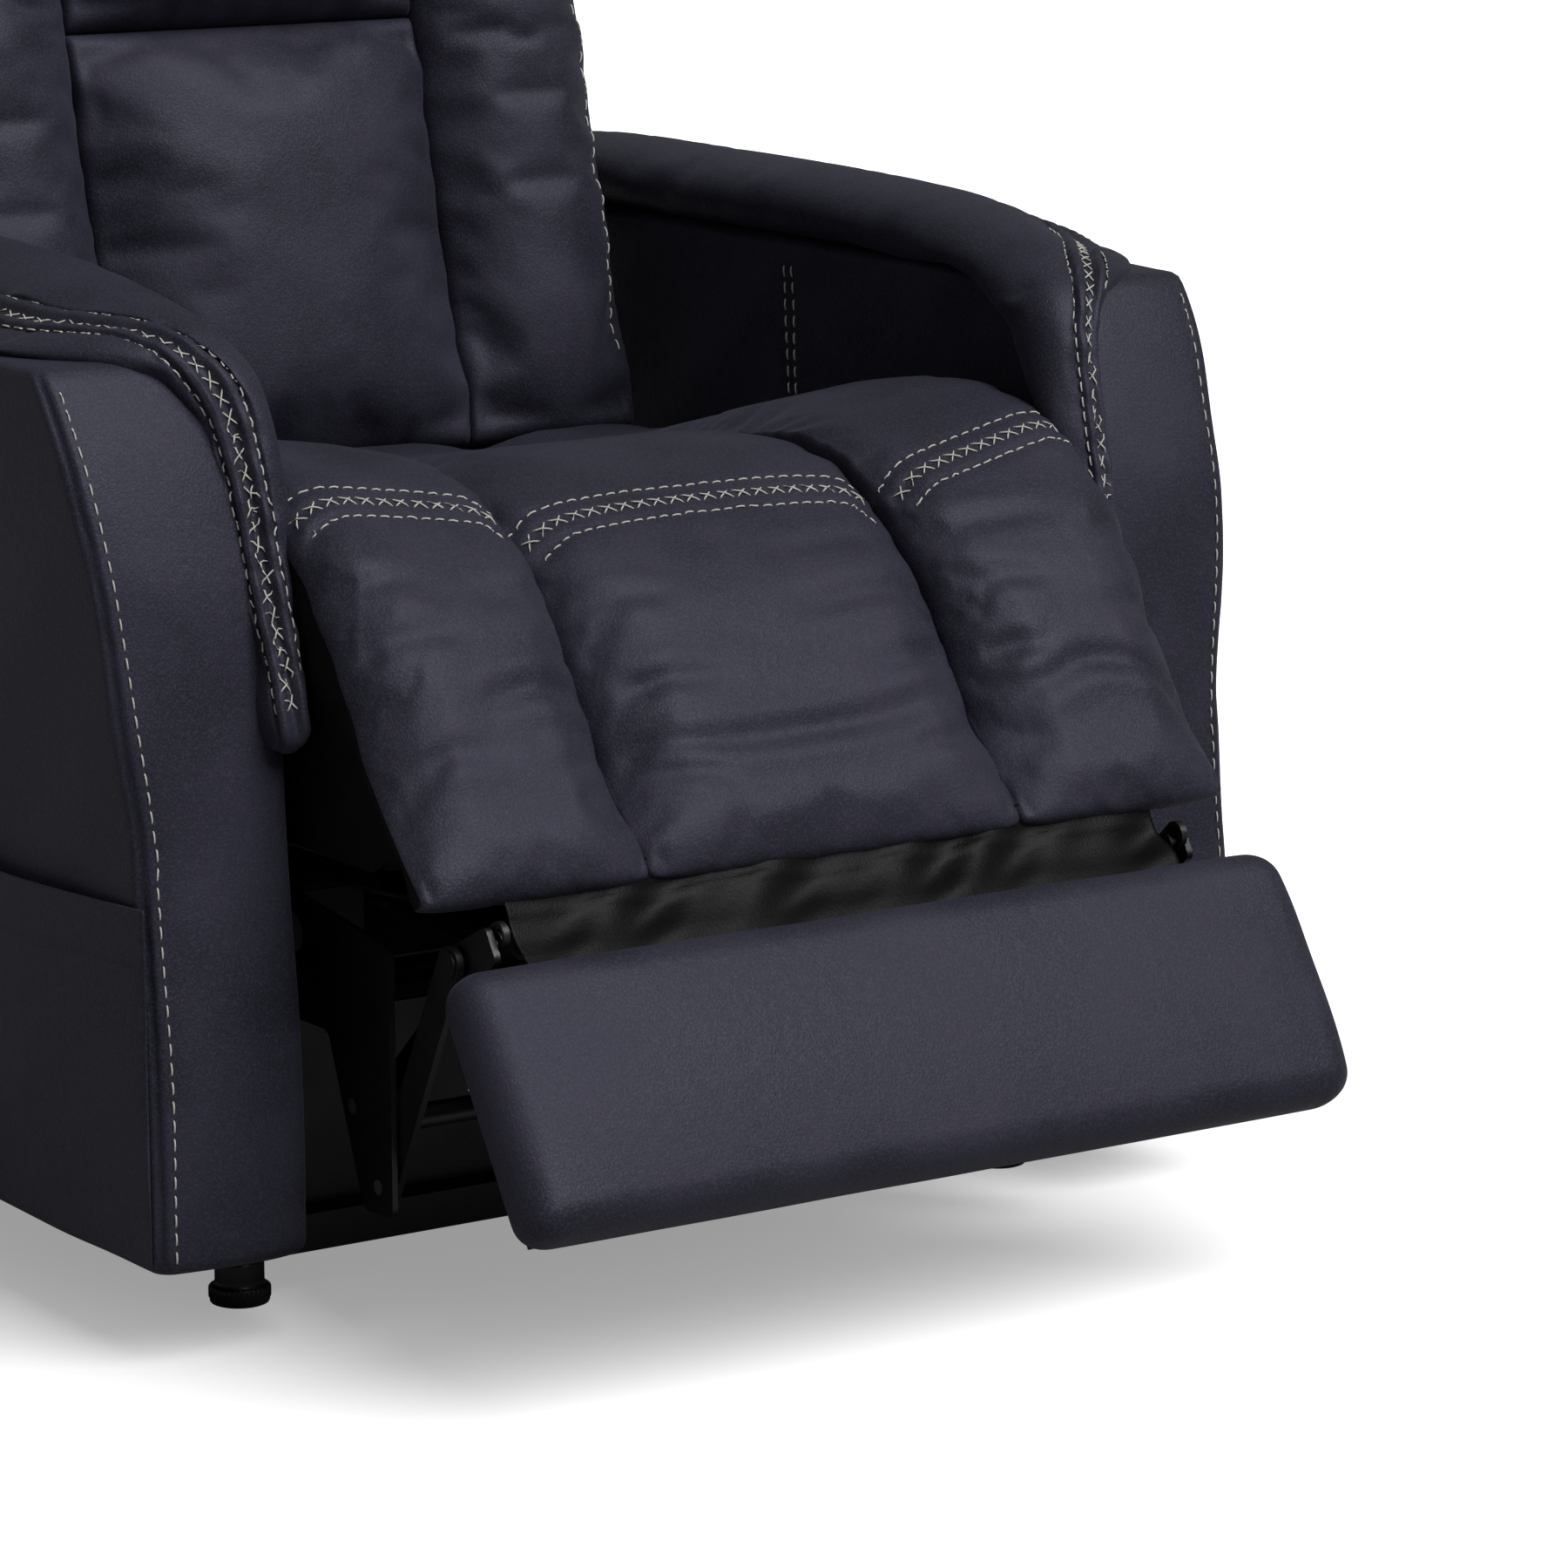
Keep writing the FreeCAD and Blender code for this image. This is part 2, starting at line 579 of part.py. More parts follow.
# Footrest linkage: swing links welded to a cross tube, slotted drag links, and the board's bracket plates
leg_parts = []
for side, way in SIDES.items():
    leg_parts.append(link("leg_link_" + side, way, "arm_link_side", "link_thick",
                          ("leg_link_back", "leg_link_high"), ("knee_back", "knee_high"), "link_half", (LOOSE, LOOSE)))
leg_parts.append(bar("leg_tube", "-(arm_link_side - link_thick)", "leg_tube_back", "leg_tube_high",
                     "leg_tube_radius", "2 * (arm_link_side - link_thick)"))
for step in (-1, 1):
    x = "-leg_actuator_side %s (rod_eye_thick / 2 + 1)" % ("+" if step > 0 else "-")
    ear_x = x if step > 0 else "%s - plate_thick" % x
    for end, back, high, radius in (("low", "leg_tube_back", "leg_tube_high", "leg_tube_radius + 4"),
                                    ("high", "leg_lever_back", "leg_lever_high", "lever_pin_radius + 5")):
        leg_parts.append(bar("leg_lever_%s_%d" % (end, step), ear_x, back, high, radius, "plate_thick"))
    web = doc.addObject("Part::Box", "leg_lever_web_%d" % step)
    web.Placement.Rotation = FreeCAD.Rotation(FreeCAD.Vector(1, 0, 0), 10)
    rise = "atan2(leg_lever_high - leg_tube_high; leg_lever_back - leg_tube_back)"
    bind(web, Length="plate_thick", Height="20",
         Width="sqrt((leg_lever_high - leg_tube_high)^2 + (leg_lever_back - leg_tube_back)^2)")
    bind(web, Placement__Rotation__Angle=rise)
    place(web, ear_x, "leg_tube_back + 10 * sin(%s)" % rise, "leg_tube_high - 10 * cos(%s)" % rise)
    leg_parts.append(web)
leg_parts.append(bar("leg_lever_pin", "-leg_actuator_side - rod_eye_thick / 2 - 1 - plate_thick", "leg_lever_back",
                     "leg_lever_high", "lever_pin_radius", "rod_eye_thick + 2 + 2 * plate_thick"))
keep(join("leg_frame_whole", leg_parts), "footrest_swing_frame")

for side, way in SIDES.items():
    start = (size("drag_back"), size("drag_high"))
    end = (size("drag_end_back"), size("drag_end_high"))
    run = math.hypot(end[0] - start[0], end[1] - start[1])
    half, thick, pin = size("drag_half"), size("link_thick"), size("pin_radius")
    behind, ahead = size("drag_slot_back"), size("drag_slot_ahead")
    slack = size("slide_pin_radius") + size("drag_slot_slack")
    across = FreeCAD.Vector(1, 0, 0)
    bar_shape = Part.makeBox(thick, run + ahead, 2 * half, FreeCAD.Vector(0, 0, -half))
    for along in (0, run + ahead):
        bar_shape = bar_shape.fuse(Part.makeCylinder(half, thick, FreeCAD.Vector(0, along, 0), across))
    hole = Part.makeCylinder(pin + size("running_gap"), thick, FreeCAD.Vector(0, 0, 0), across)
    slot = Part.makeBox(thick, behind + ahead, 2 * slack, FreeCAD.Vector(0, run - behind, -slack))
    for along in (run - behind, run + ahead):
        slot = slot.fuse(Part.makeCylinder(slack, thick, FreeCAD.Vector(0, along, 0), across))
    bar_shape = bar_shape.cut(hole.fuse(slot)).removeSplitter()
    turn = math.degrees(math.atan2(end[1] - start[1], end[0] - start[0]))
    x = size("drag_link_side") - thick if way > 0 else -size("drag_link_side")
    bar_shape.rotate(FreeCAD.Vector(0, 0, 0), FreeCAD.Vector(1, 0, 0), turn)
    bar_shape.translate(vector(x, *start))
    solid("footrest_drag_link_" + side, bar_shape)

# The footrest's own directions: along runs down the face of the pad, out stands off it to the front
TILT = math.radians(size("board_tilt"))
ALONG = (-math.sin(TILT), -math.cos(TILT))
OUT = (-math.cos(TILT), math.sin(TILT))


def on_footrest(along, out):
    back = size("pad_middle_back") + along * ALONG[0] + out * OUT[0]
    high = size("pad_middle_high") + along * ALONG[1] + out * OUT[1]
    return back, high


def footrest_line(*places):
    return [on_footrest(*spot) for spot in places]


board_face = -size("pad_thick") - size("side_gap")
board_back = board_face - size("board_thick")
for side, way in SIDES.items():
    thick = size("link_thick")
    x = size("board_plate_side") - thick if way > 0 else -size("board_plate_side")
    knee = (size("knee_back"), size("knee_high"))
    slide = (size("drag_end_back"), size("drag_end_high"))
    corners = footrest_line((-124, board_back - 18), (-119, -23), (-96, -23), (-87, board_back - 1),
                            (-50, board_back), (60, board_back), (60, board_back - 13), (-60, board_back - 17))
    body = round_plate(corners, x, thick, 5)
    flange_wide = 20
    flange_x = x - flange_wide + thick if way > 0 else x
    flange = Part.Face(Part.makePolygon([vector(flange_x, *p) for p in footrest_line(
        (-44, board_back), (60, board_back), (60, board_back - 3.5), (-44, board_back - 3.5), (-44, board_back))]))
    body = body.fuse(flange.extrude(vector(flange_wide, 0, 0)))
    knee_reach = size("arm_link_side") + size("side_gap")
    slide_reach = size("drag_link_side") - thick - size("side_gap")
    pins = []
    for spot, radius, low, high in (
        (knee, size("pin_radius"), size("board_plate_side") - thick, knee_reach),
        (knee, size("pin_head"), knee_reach, knee_reach + 1.1),
        (slide, size("slide_pin_radius"), slide_reach, size("board_plate_side")),
        (slide, size("pin_head") - 1, slide_reach - size("head_thick"), slide_reach),
    ):
        start = low if way > 0 else -high
        pins.append(Part.makeCylinder(radius, high - low, vector(start, *spot), FreeCAD.Vector(1, 0, 0)))
    body = body.fuse(pins).removeSplitter()
    solid("footrest_bracket_" + side, body)

# Footrest board, with its upper corners cut away for the drag links
wide, long, notch = size("board_half_width"), size("board_half_length"), size("board_notch_side")
cut_to = -long + size("board_notch_long")
BOARD = [(-notch, -long), (notch, -long), (notch, cut_to), (wide, cut_to), (wide, long), (-wide, long),
         (-wide, cut_to), (-notch, cut_to)]
face_points = [vector(x, *on_footrest(along, board_face)) for x, along in BOARD]
behind = on_footrest(0, board_back)[0] - on_footrest(0, board_face)[0]
below = on_footrest(0, board_back)[1] - on_footrest(0, board_face)[1]
board = Part.Face(Part.makePolygon(face_points + face_points[:1])).extrude(vector(0, behind, below))
solid("footrest_board", board)


def pad_outline(x, draw):
    """Side outline of the footrest pad; draw pulls the face and the ends in."""
    length = size("pad_half_length") - draw
    low = -size("pad_thick")
    face = -draw * 1.6
    mid = low * 0.45
    return edges_of(x, [
        footrest_line((length - 14, low), (-length + 14, low)),
        footrest_line((-length + 14, low), (-length + 1, low * 0.8), (-length, mid)),
        footrest_line((-length, mid), (-length + 9, -10 + face), (-length + 30, -1 + face)),
        footrest_line((-length + 30, -1 + face), (0, size("pad_crown") * 0.35 + face), (length - 30, -1 + face)),
        footrest_line((length - 30, -1 + face), (length - 9, -10 + face), (length, mid)),
        footrest_line((length, mid), (length - 1, low * 0.8), (length - 14, low)),
    ])


half = size("pad_half_width")
stations = [(-half, 15), (-half + 7, 7), (-half + 24, 2), (-half + 70, 0), (half - 70, 0), (half - 24, 2),
            (half - 7, 7), (half, 15)]
solid("footrest_pad", loft([pad_outline(x, draw) for x, draw in stations], ruled=True))

# Gathered cloth between the seat's nose and the footrest
lip_back, lip_high = size("seat_nose_back") + size("seat_lip") + 6, size("seat_nose_high") + 7
end_back, end_high = on_footrest(-size("pad_half_length") - 1.8, -size("pad_thick") * 0.35)
sag = ((lip_back + end_back) / 2 + 11, (lip_high + end_high) / 2 - 6)
cloth = size("cloth")
flap = plate([
    [(lip_back, lip_high - 1), sag, (end_back, end_high)],
    [(end_back, end_high), (end_back + 1.5, end_high - cloth)],
    [(end_back + 1.5, end_high - cloth), (sag[0] + 1, sag[1] - cloth), (lip_back + cloth, lip_high - 2.5)],
    [(lip_back + cloth, lip_high - 2.5), (lip_back, lip_high - 1)],
], -250, 500)
solid("footrest_flap", flap)

# Seat frame: four hardwood boards on the chassis flanges, with webbing straps stapled on top
FRAME_LONG = "chassis_rear_back - frame_front_back"
side_boards = [box("frame_side_" + side, "frame_side - frame_board" if way > 0 else "-frame_side",
                   "frame_front_back", "chassis_top", "frame_board", FRAME_LONG, "frame_deep")
               for side, way in SIDES.items()]
cross_boards = [box("frame_cross_" + end, "-(frame_side - frame_board)", back,
                    "chassis_top + frame_deep - frame_cross_deep",
                    "2 * (frame_side - frame_board)", "frame_board", "frame_cross_deep")
                for end, back in (("front", "frame_front_back"), ("rear", "chassis_rear_back - frame_board"))]
keep(group("frame_group", side_boards + cross_boards), "seat_frame")
straps = []
count = int(size("strap_count"))
for index in range(count):
    back = "frame_front_back + (%d + 0.5) / strap_count * (%s) - strap_width / 2" % (index, FRAME_LONG)
    straps.append(box("strap_%d" % index, "-frame_side", back, "chassis_top + frame_deep", "2 * frame_side",
                      "strap_width", "strap_thick"))
keep(group("strap_group", straps), "seat_webbing")


# Seat: three long panels that fall over the front edge to the nose
SEAT_LOW = size("chassis_top") + size("frame_deep") + size("strap_thick") + size("side_gap")


def seat_outline(x, draw, lift):
    """Side outline of a seat panel; draw pulls its outer skin in, lift raises the bolsters."""
    low, rear = SEAT_LOW, size("seat_rear_back")
    rear_high = size("seat_rear_high") + lift - draw
    crown_back, crown_high = size("seat_crown_back") + draw * 0.4, size("seat_crown_high") + lift - draw
    nose_back, nose_high = size("seat_nose_back") + draw * 0.45, size("seat_nose_high")
    lip = size("seat_lip") + (size("seat_nose_back") - nose_back) * 0.8
    return edges_of(x, [
        [(rear, low), (nose_back + lip + 22, low)],
        [(nose_back + lip + 22, low), (nose_back + lip, nose_high)],
        [(nose_back + lip, nose_high), (nose_back + lip / 2, nose_high - 3), (nose_back, nose_high + 4)],
        [(nose_back, nose_high + 4), (nose_back + 40, nose_high + 66), (nose_back + 80, nose_high + 120 - draw)],
        [(nose_back + 80, nose_high + 120 - draw), (crown_back - 52, crown_high - 30), (crown_back, crown_high)],
        [(crown_back, crown_high), ((crown_back + rear) / 2, (crown_high + rear_high) / 2 - 6), (rear, rear_high)],
        [(rear, rear_high), (rear, low)],
    ])


def panel_stations(low_x, high_x, soft):
    """Side values across a stuffed panel with how far its skin is drawn in at each."""
    span = high_x - low_x
    return [(low_x, soft), (low_x + 0.06 * span, soft * 0.45), (low_x + 0.2 * span, soft * 0.12),
            (low_x + 0.5 * span, 0), (high_x - 0.2 * span, soft * 0.12), (high_x - 0.06 * span, soft * 0.45),
            (high_x, soft)]


inner, gap, wide = size("seat_panel_half"), size("seam_gap"), size("seat_half")
for label, low_x, high_x, lift in (("seat_centre_panel", -inner + gap / 2, inner - gap / 2, 0),
                                   ("seat_side_panel_left", inner + gap / 2, wide, 14),
                                   ("seat_side_panel_right", -wide, -inner - gap / 2, 14)):
    solid(label, loft([seat_outline(x, draw, lift) for x, draw in panel_stations(low_x, high_x,
                                                                               size("seat_round"))], ruled=True))

# Arms: upholstered boxes whose front is upright below and leans back above a bend
ARM_LEAN = math.radians(size("arm_lean"))
BEND_LOW = size("arm_bend_high") - size("arm_bend_radius") * math.tan(ARM_LEAN / 2)
BEND_HIGH = size("arm_bend_high") + size("arm_bend_radius") * math.tan(ARM_LEAN / 2) * math.cos(ARM_LEAN)


def front_of_arm(high):
    """How far back the arm's front lies at a height."""
    if high <= BEND_LOW:
        return 0.0
    if high >= BEND_HIGH:
        return (high - size("arm_bend_high")) * math.tan(ARM_LEAN)
    return size("arm_bend_radius") - math.sqrt(size("arm_bend_radius") ** 2 - (high - BEND_LOW) ** 2)


def arm_outline(x, draw):
    low, top, rear = size("arm_bottom"), size("arm_top"), size("arm_rear_back") - draw
    middle = (BEND_LOW + BEND_HIGH) / 2
    return edges_of(x, [
        [(rear, low), (draw, low)],
        [(draw, low), (draw, BEND_LOW)],
        [(draw, BEND_LOW), (draw + front_of_arm(middle), middle), (draw + front_of_arm(BEND_HIGH), BEND_HIGH)],
        [(draw + front_of_arm(BEND_HIGH), BEND_HIGH), (draw + front_of_arm(top), top)],
        [(draw + front_of_arm(top), top), (rear, top)],
        [(rear, top), (rear, low)],
    ])


def pad_fall(x, draw, end, full):
    """Side outline of the arm pad, whose front rolls over and falls down the arm to the height end.
    draw pulls the skin in, full is the share of the roll's thickness at this side value."""
    low, rear = size("arm_top") + size("side_gap"), size("arm_rear_back") - 14 - draw
    top = low + size("arm_pad_thick") - draw
    roll = (size("arm_pad_roll") - draw) * full
    fall = low - end
    tuck = min(14.0, fall * 0.25)

    def skin(share, stand):
        high = end + share * fall
        return front_of_arm(high) - size("side_gap") - stand * roll, high

    edge = front_of_arm(low)
    crest = (edge + 170, top)
    shoulder = (edge + 18, top - 20)
    brow = (edge + 14 - 40 * full, top - 24 - 16 * full)
    return edges_of(x, [
        [(rear, low), (rear + 8, low + (top - low) * 0.5), (rear - 12, top - 6)],
        [(rear - 12, top - 6), (rear - 60, top)],
        [(rear - 60, top), crest],
        [crest, (edge + 92, top - 6), shoulder],
        [shoulder, brow, skin(0.80, 1.1)],
        [skin(0.80, 1.1), skin(0.42, 1.0), skin(tuck / fall, 0.78)],
        [skin(tuck / fall, 0.78), skin(tuck / fall * 0.2, 0.5), skin(0, 0)],
        [skin(0, 0), skin(1, 0)],
        [skin(1, 0), (rear, low)],
    ])


for side, way in SIDES.items():
    inner, outer, soft = size("arm_inner"), size("arm_outer"), size("arm_round")
    spots = [(inner, soft), (inner + 3, soft * 0.5), (inner + 12, 0), (outer - 12, 0), (outer - 3, soft * 0.5),
             (outer, soft)]
    solid("arm_" + side, loft([arm_outline(way * x, draw) for x, draw in spots], ruled=True))
    inner, outer = size("arm_pad_inner"), size("arm_pad_outer")
    end = size("arm_fall_end")
    falls = [(inner, 16, end + 20, 0.8), (inner + 4, 8, end + 7, 0.95), (inner + 9, 3, end, 1),
             (inner + 16, 3, end + 2, 1), (inner + 21, 9, end + 14, 0.9), (inner + 24, 14, end + 66, 0.78),
             (inner + 28, 11, end + 160, 0.8), (inner + 34, 6, end + 188, 0.84), (inner + 45, 2, end + 207, 0.74),
             (inner + 62, 0, end + 215, 0.5), (outer - 38, 1, end + 219, 0.3), (outer - 16, 5, end + 220, 0.2),
             (outer - 5, 11, end + 220.5, 0.15), (outer, 20, end + 221, 0.1)]
    solid("arm_pad_" + side, loft([pad_fall(way * x, draw, low, full) for x, draw, low, full in falls], ruled=True))

arm_brackets = []
for side, way in SIDES.items():
    for index, back in enumerate((150, 440)):
        x = "chassis_plate_side" if way > 0 else "-arm_inner"
        web = box("arm_bracket_%s_%d" % (side, index), x, str(back), "214", "arm_inner - chassis_plate_side", "46",
                  "plate_thick")
        foot_x = "arm_inner - plate_thick" if way > 0 else "-arm_inner"
        foot = box("arm_bracket_foot_%s_%d" % (side, index), foot_x, str(back), "214", "plate_thick", "46", "44")
        arm_brackets.append(join("arm_bracket_whole_%s_%d" % (side, index), [web, foot]))
keep(group("arm_bracket_group", arm_brackets), "arm_brackets")

# Side pocket: a cloth pouch sewn to the outside of the sitter's right arm
def pouch_block(wall):
    """The pouch's outer form, or with a wall its hollow: deep in its middle, flat at its front, rear and foot."""
    face = -size("arm_outer") + (1 if wall else 0)
    stand = face - 2.5 + (1.3 if wall else 0)
    deep = -size("arm_outer") - size("pocket_deep") - size("cloth") + wall
    front, rear = size("pocket_front_back") + wall, size("pocket_front_back") + size("pocket_long") - wall
    foot = size("pocket_low") + wall if wall else size("pocket_foot_high")
    top = size("pocket_high") + wall
    seam = size("pocket_low") + wall
    upright = [(face, foot), (face if wall else stand, foot), (deep, seam), (deep, top), (face, top)]
    if wall:
        upright = [(face, foot), (deep, foot), (deep, top), (face, top)]
    plan = [(face, front), (stand, front), (deep, front + 145), (deep, rear - 50), (stand, rear), (face, rear)]
    tall = Part.Face(Part.makePolygon([vector(x, front, high) for x, high in upright + upright[:1]]))
    wide = Part.Face(Part.makePolygon([vector(x, back, foot) for x, back in plan + plan[:1]]))
    return tall.extrude(FreeCAD.Vector(0, rear - front, 0)).common(wide.extrude(FreeCAD.Vector(0, 0, top - foot)))


solid("side_pocket", pouch_block(0).cut(pouch_block(size("cloth"))).removeSplitter())

# Back brackets on the chassis and straps on the back, joined by the recline pins
brackets, straps_back = [], []
for side, way in SIDES.items():
    top = size("chassis_top")
    thick = size("plate_thick")
    x = size("back_bracket_side") - thick if way > 0 else -size("back_bracket_side")
    hinge, high = size("hinge_back"), size("hinge_high")
    rear = size("chassis_rear_back")
    shape = round_plate([(rear - 96, top), (rear, top), (hinge + 22, high - 34), (hinge + 22, high + 22),
                         (hinge - 22, high + 22), (rear + 6, top + 38), (rear - 96, top + 36)], x, thick, 6)
    base_x = x if way > 0 else x - 14
    shape = shape.fuse(Part.makeBox(thick + 14, 96, thick, vector(base_x, rear - 96, top)))
    axis = FreeCAD.Vector(1, 0, 0)
    shape = shape.cut(Part.makeCylinder(size("pin_radius"), thick, vector(x, hinge, high), axis))
    brackets.append(shape.removeSplitter())
solid("back_brackets", Part.makeCompound(brackets))

LEAN = math.radians(size("back_lean"))


def on_back(up, deep):
    """A point of the back: up its face from the foot of the face, deep behind it."""
    back = size("back_face_back") + up * math.sin(LEAN) + deep * math.cos(LEAN)
    high = size("back_face_high") + up * math.cos(LEAN) - deep * math.sin(LEAN)
    return back, high


def back_block(x, wide, up, tall, deep, thick):
    corners = [on_back(up, deep), on_back(up + tall, deep), on_back(up + tall, deep + thick),
               on_back(up, deep + thick)]
    flat = Part.Face(Part.makePolygon([vector(x, *p) for p in corners + corners[:1]]))
    return flat.extrude(vector(wide, 0, 0))


# Back frame: two uprights and three rails of plywood behind the cushions
pad_thick, shell_deep, wall = size("back_pad_thick"), size("back_shell_deep"), size("back_shell_wall")
upright_wide = size("frame_board")
upright_x = size("back_strap_side") - size("link_thick") - upright_wide
tall = size("back_height")
boards = []
for side, way in SIDES.items():
    x = upright_x if way > 0 else -upright_x - upright_wide
    boards.append(back_block(x, upright_wide, -60, tall + 20, pad_thick + 1, 44))
for up in (-20, 250, tall - 90):
    boards.append(back_block(-upright_x, 2 * upright_x, up, 50, pad_thick + 1, size("frame_board")))
solid("back_frame", Part.makeCompound(boards))

for side, way in SIDES.items():
    thick = size("link_thick")
    x = size("back_strap_side") - thick if way > 0 else -size("back_strap_side")
    hinge = (size("hinge_back"), size("hinge_high"))
    corners = [(hinge[0] - 16, hinge[1] - 16), (hinge[0] + 18, hinge[1] - 18), on_back(-40, pad_thick + 44),
               on_back(90, pad_thick + 40), on_back(90, pad_thick + 6), on_back(-50, pad_thick + 2),
               (hinge[0] - 16, hinge[1] + 14)]
    shape = round_plate(corners, x, thick, 7)
    shape = shape.cut(Part.makeCylinder(size("pin_radius") + size("running_gap"), thick, vector(x, *hinge),
                                        FreeCAD.Vector(1, 0, 0)))
    straps_back.append(shape)
solid("back_straps", Part.makeCompound(straps_back))

# Lever on the lowest rail of the back frame, which the recline actuator pulls
lever = (size("back_lever_back"), size("back_lever_high"))
ears = []
for step in (-1, 1):
    offset = size("rod_eye_thick") / 2 + 1
    x = size("back_actuator_side") + (offset if step > 0 else -offset - size("plate_thick"))
    corners = [(lever[0] - 11, lever[1] - 11), (lever[0] + 11, lever[1] - 11), on_back(-22, pad_thick + 21.5),
               on_back(26, pad_thick + 21.5), on_back(26, pad_thick + 0.6), on_back(-22, pad_thick + 0.6)]
    ears.append(round_plate(corners, x, size("plate_thick"), 5))
pin = Part.makeCylinder(size("lever_pin_radius"), size("rod_eye_thick") + 2 + 2 * size("plate_thick"),
                        vector(size("back_actuator_side") - size("rod_eye_thick") / 2 - 1 - size("plate_thick"),
                               *lever), FreeCAD.Vector(1, 0, 0))
rail_zone = back_block(-upright_x, 2 * upright_x, -20, 50, pad_thick + 1, size("frame_board"))
solid("back_lever", ears[0].fuse(ears[1]).fuse(pin).cut(rail_zone).removeSplitter())

# Outer back: an upholstered tray round the frame, open towards the cushions
reach = size("back_half")
drop = size("back_shell_drop")
outer = back_block(-reach, 2 * reach, -drop + 40, tall + drop - 36, pad_thick + 0.5, shell_deep)
rims = [e for e in outer.Edges if e.Length > 100 and abs(e.Vertexes[0].X - e.Vertexes[-1].X) > 100]
outer = outer.makeFillet(14, rims[-2:]) if len(rims) > 3 else outer
inner = back_block(-reach + wall, 2 * (reach - wall), -drop + 30, tall + drop - 36, pad_thick - 1,
                   shell_deep - wall + 1)
solid("back_shell", outer.cut(inner).removeSplitter())


def back_outline(x, low, tall_here, draw, depth, bulge):
    """Side outline of a back cushion; draw pulls its skin in, bulge is its crown at the middle."""
    top = low + tall_here
    face = draw
    return edges_of(x, [
        [on_back(low + 6, depth), on_back(top - 6, depth)],
        [on_back(top - 6, depth), on_back(top - 1 - draw * 0.3, depth * 0.62), on_back(top - 22 - draw, 16 + face)],
        [on_back(top - 22 - draw, 16 + face), on_back((low + top) / 2, face - bulge), on_back(low + 22 + draw, 16 + face)],
        [on_back(low + 22 + draw, 16 + face), on_back(low + 1 + draw * 0.3, depth * 0.62), on_back(low + 6, depth)],
    ])


split = size("back_pillow_high")
half_panel = size("back_panel_half")
for label, low_x, high_x, low, tall_here, bulge in (
    ("back_lumbar_cushion", -half_panel + gap / 2, half_panel - gap / 2, 0, split, 6),
    ("back_head_cushion", -half_panel + gap / 2, half_panel - gap / 2, split + gap, tall - split - gap, 16),
    ("back_side_cushion_left", half_panel + gap / 2, reach, 0, tall, 4),
    ("back_side_cushion_right", -reach, -half_panel - gap / 2, 0, tall, 4),
):
    wires = [back_outline(x, low, tall_here, draw, pad_thick, bulge)
             for x, draw in panel_stations(low_x, high_x, 16)]
    solid(label, loft(wires, ruled=True))


# Actuators: a gearbox and tube on a rear eye, a motor across it, and a rod with a loose front eye
def actuator(label, x, start, end, tube_long, rod_out, motor_way, rear_bore, front_bore):
    """Builds the housing and the rod along the line from start to end, both (back, high)."""
    run = math.hypot(end[0] - start[0], end[1] - start[1])
    turn = math.degrees(math.atan2(end[1] - start[1], end[0] - start[0]))
    across, along = FreeCAD.Vector(1, 0, 0), FreeCAD.Vector(0, 1, 0)
    eye, eye_thick = size("rod_eye_radius"), size("rod_eye_thick")
    tube, rod = size("actuator_radius"), size("rod_radius")
    lug = Part.makeCylinder(rear_bore + size("eye_wall"), eye_thick, FreeCAD.Vector(-eye_thick / 2, 0, 0), across)
    neck = Part.makeBox(eye_thick, 34, 2 * tube - 12, FreeCAD.Vector(-eye_thick / 2, 0, -tube + 6))
    gear = Part.makeBox(2 * tube, 46, 2 * tube + 6, FreeCAD.Vector(-tube, 24, -tube - 3))
    gear = gear.makeFillet(6, gear.Edges)
    barrel = Part.makeCylinder(tube, tube_long, FreeCAD.Vector(0, 40, 0), along)
    nose = Part.makeCone(tube, rod + 3, 8, FreeCAD.Vector(0, 40 + tube_long, 0), along)
    motor_start = tube - 4
    motor = Part.makeCylinder(size("motor_radius"), size("motor_long"),
                              FreeCAD.Vector(motor_way * motor_start, 47, 0), across * motor_way)
    body = lug.fuse([neck, gear, barrel, nose, motor])
    bore_long = 40 + tube_long + 8 - 60
    body = body.cut(Part.makeCylinder(rod + 0.3, bore_long, FreeCAD.Vector(0, 60, 0), along))
    body = body.cut(Part.makeCylinder(rear_bore, eye_thick, FreeCAD.Vector(-eye_thick / 2, 0, 0), across))
    stem = Part.makeCylinder(rod, run - front_bore - 1 - rod_out, FreeCAD.Vector(0, rod_out, 0), along)
    head = Part.makeCylinder(eye, eye_thick, FreeCAD.Vector(-eye_thick / 2, run, 0), across)
    push = stem.fuse(head).cut(Part.makeCylinder(front_bore, eye_thick, FreeCAD.Vector(-eye_thick / 2, run, 0),
                                                 across))
    for name, shape in ((label + "_housing", body.removeSplitter()), (label + "_rod", push.removeSplitter())):
        shape.rotate(FreeCAD.Vector(0, 0, 0), across, turn)
        shape.translate(vector(x, *start))
        solid(name, shape)


push_point = (size("push_tube_back"), size("push_tube_high"))
snug = size("running_gap")
actuator("lift_actuator", 0, (size("lift_clevis_back"), size("lift_clevis_high")), push_point, 110, 66, 1,
         size("lever_pin_radius") + snug, size("push_tube_radius") + size("push_slack"))
actuator("leg_actuator", -size("leg_actuator_side"), push_point,
         (size("leg_lever_back"), size("leg_lever_high")), 180, 90, -1,
         size("push_tube_radius") + snug, size("lever_pin_radius") + size("leg_lever_slack"))
actuator("recline_actuator", size("back_actuator_side"), push_point, lever, 190, 170, 1,
         size("push_tube_radius") + snug, size("lever_pin_radius") + size("back_lever_slack"))

# Power box under the seat frame, and the cable from it to the sitter's right arm
keep(box("power_box_block", "-(chassis_plate_side - plate_thick)", "box_back", "box_high", "box_wide", "box_long",
         "box_tall"), "power_box")

